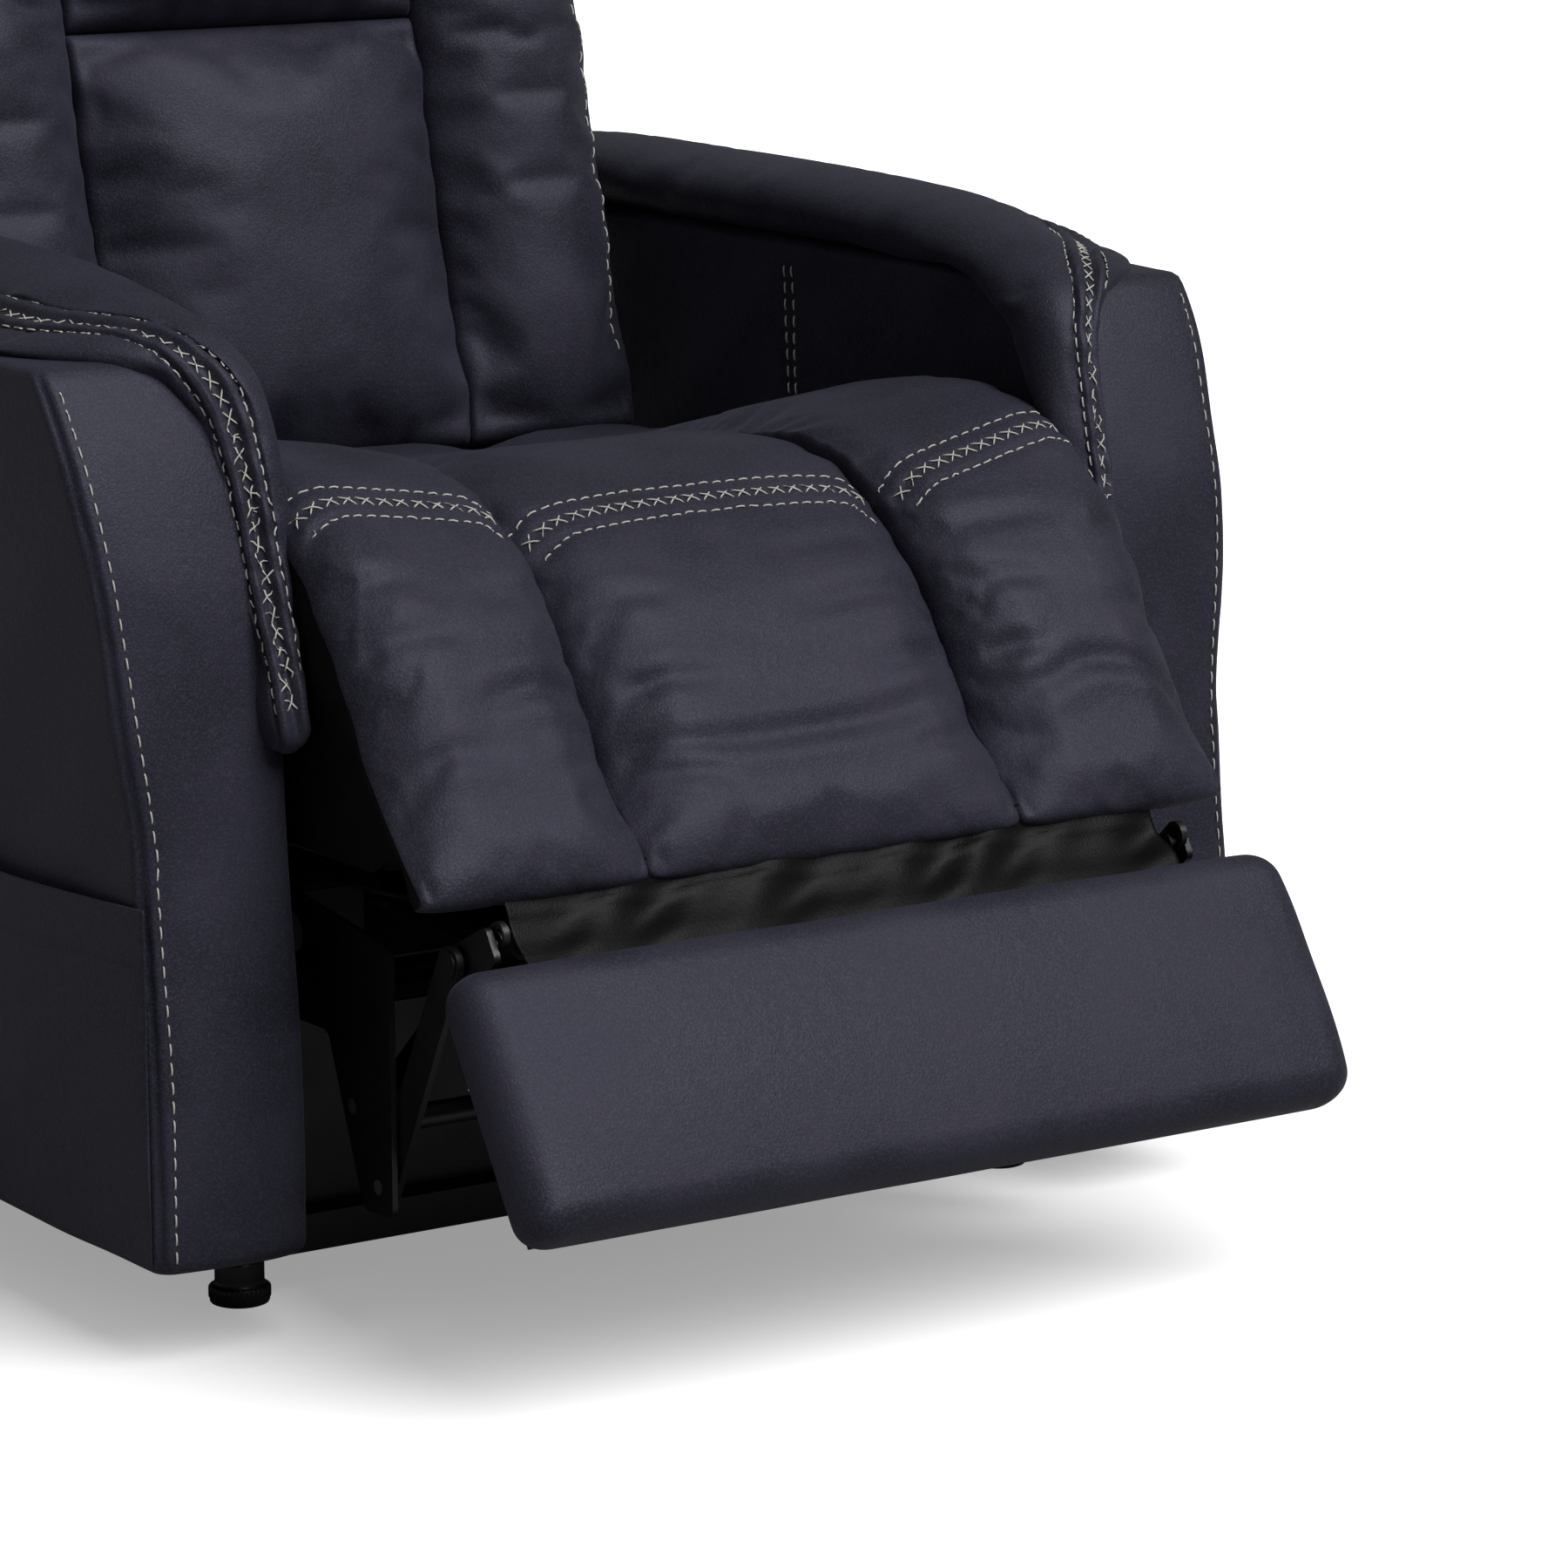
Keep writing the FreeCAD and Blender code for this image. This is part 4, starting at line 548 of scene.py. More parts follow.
def swell(piece, hold, growth, reach, pressure=4.0):
    """Blows the cover up like stuffed cloth. hold is 1 where a point is sewn down, growth is the cloth's
    ease, and no point moves farther than reach."""
    rest = places_of(piece)
    group = piece.vertex_groups.new(name="sewn")
    for index, value in enumerate(hold):
        if value > 0.01:
            group.add([index], float(value), "REPLACE")
    cloth = piece.modifiers.new("swelling", "CLOTH")
    fabric = cloth.settings
    fabric.quality = 4
    fabric.mass = 0.25
    fabric.tension_stiffness = 12
    fabric.compression_stiffness = 12
    fabric.shear_stiffness = 5
    fabric.bending_stiffness = 0.35
    fabric.use_pressure = True
    fabric.uniform_pressure_force = pressure
    fabric.shrink_min = -growth
    fabric.vertex_group_mass = "sewn"
    fabric.effector_weights.gravity = 0
    cloth.point_cache.frame_start = 1
    cloth.point_cache.frame_end = SWELL_FRAMES
    for step in range(1, SWELL_FRAMES + 1):
        scene.frame_set(step)
    shift = places_of(piece.evaluated_get(bpy.context.evaluated_depsgraph_get())) - rest
    length = np.linalg.norm(shift, axis=1, keepdims=True)
    piece.modifiers.remove(cloth)
    scene.frame_set(1)
    move_to(piece, rest + shift * np.minimum(1, reach / np.maximum(length, 1e-9)))


def refine(piece):
    """Subdivides the skin smoothly and keeps the finer mesh."""
    finer = piece.modifiers.new("finer", "SUBSURF")
    finer.levels = 1
    finer.render_levels = 1
    bpy.context.view_layer.update()
    mesh = bpy.data.meshes.new_from_object(piece.evaluated_get(bpy.context.evaluated_depsgraph_get()))
    piece.modifiers.remove(finer)
    piece.data = mesh


def keep_inside(piece, low, high):
    """Flattens a skin where it would press through its neighbours: corners in millimetres."""
    move_to(piece, np.clip(places_of(piece), np.array(spot(*low)), np.array(spot(*high))))


def skin_of(*pieces):
    """The finished surface of pieces, to lay seams and folds on."""
    places = []
    faces = []
    for piece in pieces:
        add_form(places, faces, [vertex.co.copy() for vertex in piece.data.vertices],
                 [tuple(polygon.vertices) for polygon in piece.data.polygons])
    return BVHTree.FromPolygons(places, faces)


def fold(piece, skin, corners, depth, width):
    """Presses a fold into the skin near points in millimetres. Its banks stand up a little beside it."""
    bank = 0.4
    steps = 40
    rough = line_through([spot(*corner) for corner in corners])(np.linspace(0, 1, steps))
    line = np.array([skin.find_nearest(Vector(place))[0] for place in rough])
    places = places_of(piece)
    gap = np.linalg.norm(places[:, None] - line[None], axis=2)
    nearest = gap.argmin(axis=1)
    gap = gap.min(axis=1) * 1000
    taper = np.sin(np.pi * (nearest + 0.5) / steps) ** 0.6
    form = np.exp(-(gap / width) ** 2) - bank * np.exp(-((gap - 2.1 * width) / width) ** 2)
    move_to(piece, places - normals_of(piece) * (form * taper * depth / 1000)[:, None])


def billow(piece, height, scale, seed, share=None):
    """Low soft waves in a skin; scale gives waves per metre along each direction, share where they run."""
    random.seed(seed)
    places = places_of(piece)
    phases = [[random.uniform(low, high) for low, high in ((0, 6.3), (0.6, 1.5), (-0.5, 0.5), (0.7, 1.3))]
              for _ in range(7)]
    waves = np.zeros(len(places))
    for phase, pace, lean, bend in phases:
        turned = places * np.array(scale) * pace * 2 * math.pi
        slow = np.sin(places @ (np.array([5.1, 3.3, 4.2]) * bend * math.pi) + phase * 1.7)
        waves += np.sin(turned.sum(axis=1) + lean * turned[:, 0] + phase + 1.2 * slow) * (0.5 + 0.5 * slow)
    waves *= height / 1000 / 2.6
    if share is not None:
        waves *= share
    move_to(piece, places + normals_of(piece) * waves[:, None])


# The bolsters' outer sides are of thin black lining cloth, that hangs a little below the stuffing.
lining = Finish("black_lining", Specular_IOR_Level=0.13)
lining_threads = lining.noise(900, 2, (1, 0.3, 1))
lining_cloud = lining.between(lining.noise(25, 4), 0.3, 0.7)
lining.wear({"Base Color": lining.blend(lining_cloud, (0.0014, 0.0014, 0.0016), (0.003, 0.003, 0.0034)),
             "Roughness": 0.42 + 0.12 * lining_threads})
lining.emboss(lining_threads + lining.noise(220, 3) * 0.7, 0.0003)


LINING_HANG = 27


def seat_panel(label, low_x, high_x, lift, outer):
    """One stuffed panel. Its outer side is at its low x for -1, at its high x for 1; the centre has none."""
    top = line_through([(560, 466), (480, 470), (400, 478 + lift * 0.3), (300, 496 + lift * 0.7),
                        (230, 511 + lift), (180, 520 + lift), (130, 525 + lift), (95, 521 + lift),
                        (65, 514 + lift), (42, 505 + lift), (20, 494 + lift), (-4, 479 + lift),
                        (-30, 457 + lift * 0.8), (-54, 430 + lift * 0.6), (-72, 404 + lift * 0.4),
                        (-90, 378 + lift * 0.2), (-107, 353), (-121, 333), (-131, 318), (-133, 309),
                        (-128, 302), (-118, 300)])
    under = line_through([(556, 344), (300, 344), (0, 344), (-76, 344), (-98, 335), (-108, 320), (-113, 308)])
    along = np.linspace(0, 1, 300)
    line = top(along)
    way = np.gradient(line, axis=0)
    out = np.stack([way[:, 1], -way[:, 0]], axis=1)
    out /= np.linalg.norm(out, axis=1)[:, None]
    drop = np.interp(along, [0, 0.3, 0.5, 0.6, 0.72, 0.86, 0.95, 1], [12, 13, 9, 9, 24, 26, 12, 4])
    rise = np.interp(along, [0, 0.35, 0.45, 0.62, 0.75, 1], [0, 8, 24, 24, 8, 0])

    def shape(u, v, w):
        wide = 0.5 - 0.5 * np.cos(np.pi * u)
        wide = 0.6 * wide + 0.4 * u
        s = np.abs(2 * wide - 1)
        outward = wide if outer > 0 else 1 - wide
        bulge = 1 - np.sqrt(np.clip(1 - s ** 5, 0, 1))
        pull = np.interp(v, along, drop) * bulge
        if outer:
            pull -= np.interp(v, along, rise) * (outward - 0.5) * (1 - 0.5 * bulge)
        outward_way = np.stack([np.interp(v, along, out[:, 0]), np.interp(v, along, out[:, 1])], axis=1)
        face = top(v) - outward_way * pull[:, None]
        base = under(v)
        if outer:
            base[:, 1] -= LINING_HANG * ramp(outward, 0.97, 0.02) * ramp(base[:, 0], -100, 30)
        flat = base + (face - base) * w[:, None]
        return np.column_stack([low_x + (high_x - low_x) * wide, flat])

    places, faces, shares = stuffed_block((40, 128, 10), shape)
    piece = build(label, places, faces, suede, "chassis")
    keep_shares(piece, shares)
    u, v, w = shares_of(piece).T
    if outer:
        piece.data.materials.append(lining.material)
        for polygon in piece.data.polygons:
            side = [(u[index] if outer > 0 else 1 - u[index]) for index in polygon.vertices]
            if min(side) > 0.999:
                polygon.material_index = 1
    seam = np.minimum(u, 1 - u)
    hold = np.where(w < 0.95, 1.0, 1 - ramp(seam, 0, 0.03))
    hold = np.maximum(hold, 1 - ramp(1 - v, 0, 0.02))
    swell(piece, hold, 0.022, 0.01)
    keep_inside(piece, (low_x, -150, 296), (high_x, 562, 560))
    refine(piece)
    return piece


seat_centre = seat_panel("seat_centre_cushion", -142.85, 142.85, 0, 0)
seat_left = seat_panel("seat_side_cushion_left", 143.15, 308, 18, 1)
seat_right = seat_panel("seat_side_cushion_right", -308, -143.15, 18, -1)
# Folds that the stuffing throws in each panel: rough places along it, its depth and its width.
creases = {
    "seat_centre_cushion": [
        ([(-139, -75, 373), (-108, -87, 376), (-53, -94, 377), (13, -95, 378),
          (63, -91, 380), (119, -78, 390)], 3.4, 8),
        ([(-130, -91, 362), (-105, -97, 361), (-72, -103, 358)], 2.6, 6),
        ([(-132, -60, 415), (-95, -64, 412), (-48, -66, 411)], 2.0, 7),
        ([(20, -49, 448), (84, -44, 452), (119, -41, 445), (141, -48, 424)], 2.8, 8),
        ([(-136, -20, 462), (-104, -26, 462), (-66, -30, 458)], 1.8, 7),
        ([(60, -70, 405), (100, -66, 409), (138, -58, 412)], 2.2, 7),
        ([(70, -104, 356), (110, -100, 362), (139, -92, 372)], 2.0, 6),
        ([(20, -12, 474), (80, -8, 476), (136, -4, 474)], 1.6, 8),
    ],
    "seat_side_cushion_left": [
        ([(160, -92, 378), (190, -88, 388), (225, -84, 397), (262, -86, 390), (300, -92, 372)], 3.2, 8),
        ([(148, -40, 452), (180, -44, 450), (220, -48, 446)], 2.6, 8),
        ([(250, -60, 424), (280, -58, 424), (304, -58, 418)], 2.2, 7),
        ([(150, -70, 410), (175, -74, 410), (205, -76, 406)], 2.2, 7),
        ([(300, -95, 362), (299, -104, 346), (296, -112, 334)], 2.4, 6),
        ([(150, -12, 478), (190, -16, 482), (240, -18, 484)], 1.8, 8),
        ([(262, -28, 470), (285, -24, 474), (304, -22, 470)], 1.8, 7),
    ],
    "seat_side_cushion_right": [
        ([(-235, -73, 414), (-205, -70, 420), (-178, -64, 417), (-148, -56, 408)], 3.2, 8),
        ([(-300, -40, 450), (-270, -42, 454), (-230, -44, 452)], 2.4, 8),
        ([(-212, -30, 470), (-180, -28, 470), (-148, -26, 464)], 2.4, 8),
        ([(-300, -88, 380), (-268, -88, 388), (-230, -88, 386)], 2.4, 8),
        ([(-196, -96, 372), (-172, -92, 376), (-147, -84, 380)], 2.2, 7),
        ([(-302, -16, 476), (-280, -18, 484), (-245, -20, 486)], 1.8, 8),
    ],
}
for piece, node in ((seat_centre, "seat_centre_panel"), (seat_left, "seat_side_panel_left"),
                    (seat_right, "seat_side_panel_right")):
    u, v, w = shares_of(piece).T
    seam_pull = 0.3 + 0.7 * np.abs(2 * u - 1) ** 1.5
    fall = ramp(v, 0.62, 0.08) * ramp(1 - v, 0, 0.06) * (w > 0.9)
    billow(piece, 2.0, (1.5, 3, 15), 11, fall * seam_pull)
    skin = skin_of(piece)
    for corners, depth, width in creases[piece.name]:
        fold(piece, skin, corners, depth, width)
    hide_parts(node)


# Seat stitching
# Pale heavy thread: along the front band two running rows with a row of crosses between them, and pressed
# grooves under the rows where the thread draws the cover in. The band's and the thread's sizes are in metres.
BAND_HALF = 0.0165
SEAM_STEP = 0.002
ROW_PITCH = 0.0102
ROW_STITCH = 0.0076
ROW_THREAD = 0.00062
CROSS_THREAD = 0.00058
CROSS_PITCH = 0.0131
CROSS_WIDTH = 0.0098
thread_finish = Finish("pale_thread", Specular_IOR_Level=0.3, Roughness=0.7)
twist = thread_finish.noise(1500, 2)
thread_finish.wear({"Base Color": thread_finish.blend(twist, (0.34, 0.33, 0.29), (0.62, 0.60, 0.54))})


class Seam:
    """A sewing line on a skin, through rough points in millimetres. They go to its nearest places, or fall
    on it."""

    def __init__(self, skin, corners, falling=False):
        self.skin = skin
        rough = line_through([spot(*corner) for corner in corners])
        count = max(8, int(rough.length / SEAM_STEP))
        places = [Vector(place) for place in rough(np.linspace(0, 1, count))]
        if falling:
            above = Vector((0, 0, 0.2))
            down = Vector((0, 0, -1))
            places = [skin.ray_cast(place + above, down)[0] or place for place in places]
        self.line = [skin.find_nearest(place)[0] for place in places]
        steps = [(b - a).length for a, b in zip(self.line, self.line[1:])]
        self.run = np.r_[0, np.cumsum(steps)]
        self.flat = np.array(self.line)

    def place(self, along, aside=0.0, lift=0.0):
        """A place on the skin, along the seam and aside of it, lifted off the surface; all in metres."""
        behind, here, ahead = [Vector([np.interp(along + step, self.run, column) for column in self.flat.T])
                               for step in (-SEAM_STEP, 0, SEAM_STEP)]
        place, normal = self.skin.find_nearest(here)[:2]
        way = (ahead - behind).normalized()
        if aside:
            place, normal = self.skin.find_nearest(place + normal.cross(way).normalized() * aside)[:2]
        return place + normal * lift


class Thread:
    """Stitches gathered into one piece."""

    def __init__(self):
        self.places = []
        self.faces = []

    def lay(self, spots, radius):
        """One stitch: a thin round thread through the spots, thinner at its ends."""
        self.faces += tube_faces(len(spots), 6, len(self.places))
        for index, place in enumerate(spots):
            way = (spots[min(index + 1, len(spots) - 1)] - spots[max(index - 1, 0)]).normalized()
            side = way.orthogonal().normalized()
            other = way.cross(side)
            thick = radius * (0.55 if index in (0, len(spots) - 1) else 1)
            for turn in range(6):
                angle = turn * math.pi / 3
                self.places.append(place + (side * math.cos(angle) + other * math.sin(angle)) * thick)

    def running(self, seam, aside=0.0, pitch=ROW_PITCH, stitch=ROW_STITCH):
        """A row of single stitches; each dips into the cover at its ends."""
        for index in range(int(seam.run[-1] / pitch)):
            start = (index + 0.2) * pitch + random.uniform(-0.0002, 0.0002)
            lifts = ((0, -0.0006), (0.16, 0.0005), (0.5, 0.0008), (0.84, 0.0005), (1, -0.0006))
            self.lay([seam.place(start + part * stitch, aside, lift) for part, lift in lifts], ROW_THREAD)

    def crosses(self, seam):
        """A row of crosses; the second leg of each lies over the first."""
        for index in range(int(seam.run[-1] / CROSS_PITCH)):
            start = (index + 0.1) * CROSS_PITCH
            for way, over in ((1, 0.0008), (-1, 0.0017)):
                slack = random.uniform(-0.0004, 0.0004)
                lifts = ((0, -0.0004), (0.2, 0.0006), (0.5, over), (0.8, 0.0006), (1, -0.0004))
                spots = [seam.place(start + (0.1 + 0.8 * part) * CROSS_PITCH + slack,
                                    way * (part - 0.5) * CROSS_WIDTH, lift) for part, lift in lifts]
                self.lay(spots, CROSS_THREAD)

    def piece(self, name, body):
        return build(name, self.places, self.faces, thread_finish.material, body)


def groove(piece, seam, aside, depth, width):
    """Presses a channel into the skin along a seam."""
    reach = 0.02
    steps = max(12, int(seam.run[-1] / SEAM_STEP / 2))
    line = np.array([seam.place(along, aside) for along in np.linspace(0, seam.run[-1], steps)])
    places = places_of(piece)
    low, high = line.min(axis=0) - reach, line.max(axis=0) + reach
    near = np.where(((places > low) & (places < high)).all(axis=1))[0]
    gap = np.linalg.norm(places[near][:, None] - line[None], axis=2).min(axis=1) * 1000
    places[near] -= normals_of(piece)[near] * (depth / 1000 * np.exp(-(gap / width) ** 2))[:, None]
    move_to(piece, places)


random.seed(21)
for piece, low_x, high_x, low_back, mid_back, high_back in ((seat_centre, -137, 137, 30, 38, 32),
                                                            (seat_left, 149, 303, 24, 35, 44),
                                                            (seat_right, -303, -149, 34, 37, 34)):
    corners = []
    for part in (0, 0.08, 0.2, 0.4, 0.6, 0.8, 0.92, 1):
        back = low_back * (1 - part) * (1 - 2 * part) + mid_back * 4 * part * (1 - part)
        back += high_back * part * (2 * part - 1)
        corners.append((low_x + (high_x - low_x) * part, back, 500))
    seam = Seam(skin_of(piece), corners, True)
    for aside in (-BAND_HALF, BAND_HALF):
        groove(piece, seam, aside, 1.5, 4)
    groove(piece, seam, 0, 1.4, 4.2)
    sewn = Seam(skin_of(piece), corners, True)
    thread = Thread()
    for aside in (-BAND_HALF, BAND_HALF):
        thread.running(sewn, aside)
    thread.crosses(sewn)
    thread.piece(piece.name.replace("cushion", "thread"), "chassis")

# Arms
# Upholstered boxes on the outside of the chassis. The front is upright at the foot, then leans back ever
# more; the outer side flares out a little toward the top. A row of pale stitches runs beside the seam at the
# outer corner. The stitches' pitch and length are in metres.
ARM_INNER = 315
ARM_OUTER = 424
ARM_MIDDLE = 368
ARM_FOOT = 61
ARM_TOP = 622
ARM_REAR = 768.0
INNER_ROUND = 11
OUTER_ROUND = 13
EDGE_ROUND = 8
LONG_PITCH = 0.0121
LONG_STITCH = 0.0088
arm_front_line = line_through([(0, 55), (0, 120), (1, 175), (5, 225), (14, 300), (22, 390), (32, 473),
                               (45, 520), (63, 566), (81, 600), (98, 626)])(np.linspace(0, 1, 500))


def front_of_arm(high):
    return float(np.interp(high, arm_front_line[:, 1], arm_front_line[:, 0]))


def flare_of_arm(high):
    return float(np.interp(high, [0, 338, 400, 473, 566, 622], [0, 0, 7, 13, 19, 23]))


def arm_columns():
    """Plan of the arm: for each column its side value, how far behind the front, and its share of the way
    back."""
    low = ARM_INNER + INNER_ROUND
    high = ARM_OUTER - OUTER_ROUND
    columns = [(ARM_INNER, INNER_ROUND, share) for share in np.linspace(1, 0, 60)[:-1] ** 1.3]
    for turn in np.linspace(0, math.pi / 2, 7)[:-1]:
        side = ARM_INNER + INNER_ROUND * (1 - math.cos(turn))
        columns.append((side, INNER_ROUND * (1 - math.sin(turn)), 0))
    for side in np.linspace(low, high, 26):
        columns.append((side, -4.0 * (1 - ((side - ARM_MIDDLE) / 43) ** 2), 0))
    for turn in np.linspace(0, math.pi / 2, 10)[1:]:
        columns.append((high + OUTER_ROUND * math.sin(turn), OUTER_ROUND * (1 - math.cos(turn)), 0))
    for share in np.linspace(0, 1, 60)[1:] ** 1.3:
        bulge = 3.2 * math.sin(math.pi * min(1, share * 1.02)) ** 0.7
        columns.append((ARM_OUTER + bulge, OUTER_ROUND, share))
    return columns


def arm(side, way):
    columns = arm_columns()
    levels = [ARM_FOOT + step for step in (0, 1, 4, 9, 16)]
    levels += list(np.linspace(ARM_FOOT + 23, ARM_TOP - 16, 76))
    levels += [ARM_TOP - step for step in (9, 4, 1, 0)]
    places = []
    for high in levels:
        edge = min(high - ARM_FOOT, ARM_TOP - high)
        tuck = EDGE_ROUND - math.sqrt(max(0, EDGE_ROUND ** 2 - (EDGE_ROUND - min(EDGE_ROUND, edge)) ** 2))
        for across, behind, share in columns:
            back = (front_of_arm(high) + behind) * (1 - share) + ARM_REAR * share
            across += flare_of_arm(high) * ramp(across, ARM_MIDDLE, 50)
            inward = (1 if across < ARM_MIDDLE else -1) * ramp(abs(across - ARM_MIDDLE), 0, 20)
            places.append(spot(way * (across + tuck * inward), back + (tuck if share < 0.5 else -tuck), high))
    faces = tube_faces(len(levels), len(columns))
    piece = build("arm_" + side + "_cover", places, faces, suede, "chassis")
    heights = (66, 120, 200, 260, 300, 340, 400, 450, 500, 550, 590, 617)
    front = [(way * (411.5 + flare_of_arm(high)), front_of_arm(high) - 2, high) for high in heights]
    corner = [(way * (422 + flare_of_arm(high)), front_of_arm(high) + 3, high) for high in heights]
    inner = [(way * ARM_INNER, 392 + 6 * math.sin(high / 90), high) for high in (400, 450, 500, 560, 615)]
    skin = skin_of(piece)
    for line, depth, width in ((corner, 3.0, 3.0), (front, 0.8, 3.5), (inner, 1.6, 5)):
        groove(piece, Seam(skin, line), 0, depth, width)
    billow(piece, 1.3, (5, 5, 5), 31 + way)
    skin = skin_of(piece)
    thread = Thread()
    for line, aside in ((front, 0), (inner, 0.005), (inner, -0.005)):
        thread.running(Seam(skin, line), aside, LONG_PITCH, LONG_STITCH)
    thread.piece("arm_" + side + "_thread", "chassis")
    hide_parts("arm_" + side)


arm("left", 1)
arm("right", -1)

# Arm pads
# Pillow tops that roll over the arm's front and run down its inner edge. Two folded strips with crosses
# between them run the whole length, between two rows of running stitches. Each station gives the skin's back
# and height, the arm's back and height under it, the inner side, the outer side and the middle of the band.
BAND_ASIDE = 16.6
PAD_STATIONS = [
    (766, 634, 762, 622.5, 322, 434, 396), (764, 650, 757, 622.5, 312, 443, 404),
    (750, 667, 742, 622.5, 308, 447, 410), (710, 672, 705, 622.5, 306, 448, 418),
    (560, 672, 560, 622.5, 305, 448, 419), (400, 671, 405, 622.5, 304, 448, 419),
    (288, 668, 300, 622.5, 303, 448, 418), (225, 663, 240, 622.5, 302, 448, 415),
    (178, 656, 200, 621, 301, 445, 405), (138, 648, 168, 617, 300, 436, 386),
    (106, 639, 146, 608, 298, 420, 366), (82, 628, 128, 600, 296, 398, 352),
    (65, 612, 112, 594, 295, 366, 341), (54, 589, 100, 578, 295, 350, 333),
    (45, 560, 88, 555, 295, 344, 329), (36, 530, 76, 528, 296, 341, 327),
    (27, 498, 66, 497, 298, 339, 326), (16, 465, 56, 464, 301, 337, 325),
    (5, 435, 48, 434, 304, 336, 324), (-4, 408, 42, 410, 306, 336, 324),
    (-6, 392, 40, 396, 310, 334, 323), (4, 381, 38, 387, 316, 330, 322)]


def arm_pad(side, way):
    stations = line_through(PAD_STATIONS)
    rings = np.linspace(0, 1, 150)
    turn = np.linspace(math.radians(-36), math.radians(216), 260)
    squash = 2 / 2.15
    low = abs(math.sin(turn[0])) ** squash
    rise = np.sign(np.sin(turn)) * np.abs(np.sin(turn)) ** squash
    rise = (low + rise) / (1 + low)
    reach = np.sign(np.cos(turn)) * np.abs(np.cos(turn)) ** squash
    places = []
    shares = []
    band_lines = [[], [], []]
    for ring in rings:
        skin_back, skin_high, arm_back, arm_high, inner, outer, band = stations(ring)
        side_line = (inner + outer) / 2 + (outer - inner) / 2 * reach
        back_line = arm_back + (skin_back - arm_back) * rise
        high_line = arm_high + (skin_high - arm_high) * rise
        high_line -= 0.24 * np.maximum(0, side_line - 352) * rise * ramp(arm_high, 600, 20)
        line = np.column_stack([side_line, back_line, high_line])
        run = np.r_[0, np.cumsum(np.linalg.norm(np.diff(line, axis=0), axis=1))]
        upper = rise > 0.6
        middle = np.interp(-band, -side_line[upper], run[upper])
        ease = min(1, (min(middle, run[-1] - middle) - 4) / 24)
        ease *= np.interp(skin_high, [560, 640], [0.76, 1])
        for band_row, aside in zip(band_lines, (-BAND_ASIDE, 0, BAND_ASIDE)):
            band_row.append([np.interp(middle + aside * ease, run, column) for column in line.T])
        strip = np.linspace(-22, 22, 26) * ease
        before = np.linspace(-middle, strip[0], 11)[:-1]
        beyond = np.linspace(strip[-1], run[-1] - middle, 11)[1:]
        offsets = np.r_[before, strip, beyond]
        for offset in offsets:
            places.append([np.interp(middle + offset, run, column) for column in line.T])
            shares.append((ring, (offset / max(ease, 0.2)) / 100, 1))
        first, last = places[-len(offsets)], places[-1]
        for part in np.linspace(0, 1, 8)[1:-1]:
            places.append([a + (b - a) * part for a, b in zip(last, first)])
            shares.append((ring, 0.9, 0))
    faces = tube_faces(len(rings), len(places) // len(rings))
    places = [spot(way * across, back, high) for across, back, high in places]
    piece = build("arm_pad_" + side + "_cover", places, faces, suede, "chassis")
    keep_shares(piece, np.array(shares))
    ring, offset, top = shares_of(piece).T
    hold = np.where(top < 0.5, 1.0, np.clip(1 - np.abs(np.abs(offset) - 0.155) / 0.02, 0, 0.5))
    hold = np.maximum(hold, np.where(np.abs(offset) < 0.05, 0.5, 0))
    swell(piece, hold, 0.02, 0.006, 3.0)
    refine(piece)
    ring, offset, top = shares_of(piece).T
    gap = np.abs(offset) * 100
    relief = 2.5 * np.exp(-((gap - 10.4) / 4.2) ** 4) - 3.0 * np.exp(-(gap / 4.4) ** 4)
    relief -= 2.2 * np.exp(-((gap - BAND_ASIDE) / 2.0) ** 2)
    relief *= (top > 0.99) * ramp(ring, 0, 0.02) * ramp(1 - ring, 0, 0.02)
    move_to(piece, places_of(piece) + normals_of(piece) * (relief / 1000)[:, None])
    skin = skin_of(piece)
    seams = [Seam(skin, [(way * across, back, high) for across, back, high in band_row[3:-3:2]])
             for band_row in band_lines]
    thread = Thread()
    thread.crosses(seams[1])
    thread.running(seams[0])
    thread.running(seams[2])
    thread.piece("arm_pad_" + side + "_thread", "chassis")
    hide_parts("arm_pad_" + side)


arm_pad("left", 1)
arm_pad("right", -1)

# Side pocket
# A flat pouch of the cover's own cloth on the sitter's right arm, for the handset and a magazine: sewn down
# at its front, rear and foot, open at its hemmed top.
POUCH_FRONT = 7
POUCH_RUN = 418
POUCH_FOOT = 67
POUCH_RISE = 229
POUCH_SAG = 5


def pouch_depth(back, high):
    """How far the pouch stands off the arm's side, in millimetres."""
    ends = ramp(back, 6, 145) * ramp(426 - back, 0, 50)
    rise = ramp(high, 66, 100)
    return 2.4 + 11.8 * (ends ** 0.8) * (math.sin(rise * math.pi / 2) ** 1.2)


def pouch_shape(u, v, w):
    places = []
    for share, up, through in zip(u, v, w):
        back = POUCH_FRONT + POUCH_RUN * share
        high = POUCH_FOOT + POUCH_RISE * up - POUCH_SAG * math.sin(math.pi * share) * up
        places.append((-ARM_OUTER - pouch_depth(back, high) + 2.0 * (1 - through), back, high))
    return np.array(places)


pouch_places, pouch_faces, pouch_shares = stuffed_block((84, 52, 1), pouch_shape)
pouch = build("side_pouch", pouch_places, pouch_faces, suede, "chassis")
keep_shares(pouch, pouch_shares)
refine(pouch)
pouch_skin = skin_of(pouch)
hem_line = [(-440, back, 259 - POUCH_SAG * math.sin(math.pi * (back - 6) / 420))
            for back in (8, 60, 120, 200, 280, 360, 420)]
groove(pouch, Seam(pouch_skin, hem_line), 0, 1.0, 2.4)
u, v, w = shares_of(pouch).T
billow(pouch, 0.9, (1, 6, 8), 5, w * ramp(0.84 - v, 0, 0.2))
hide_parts("side_pocket")

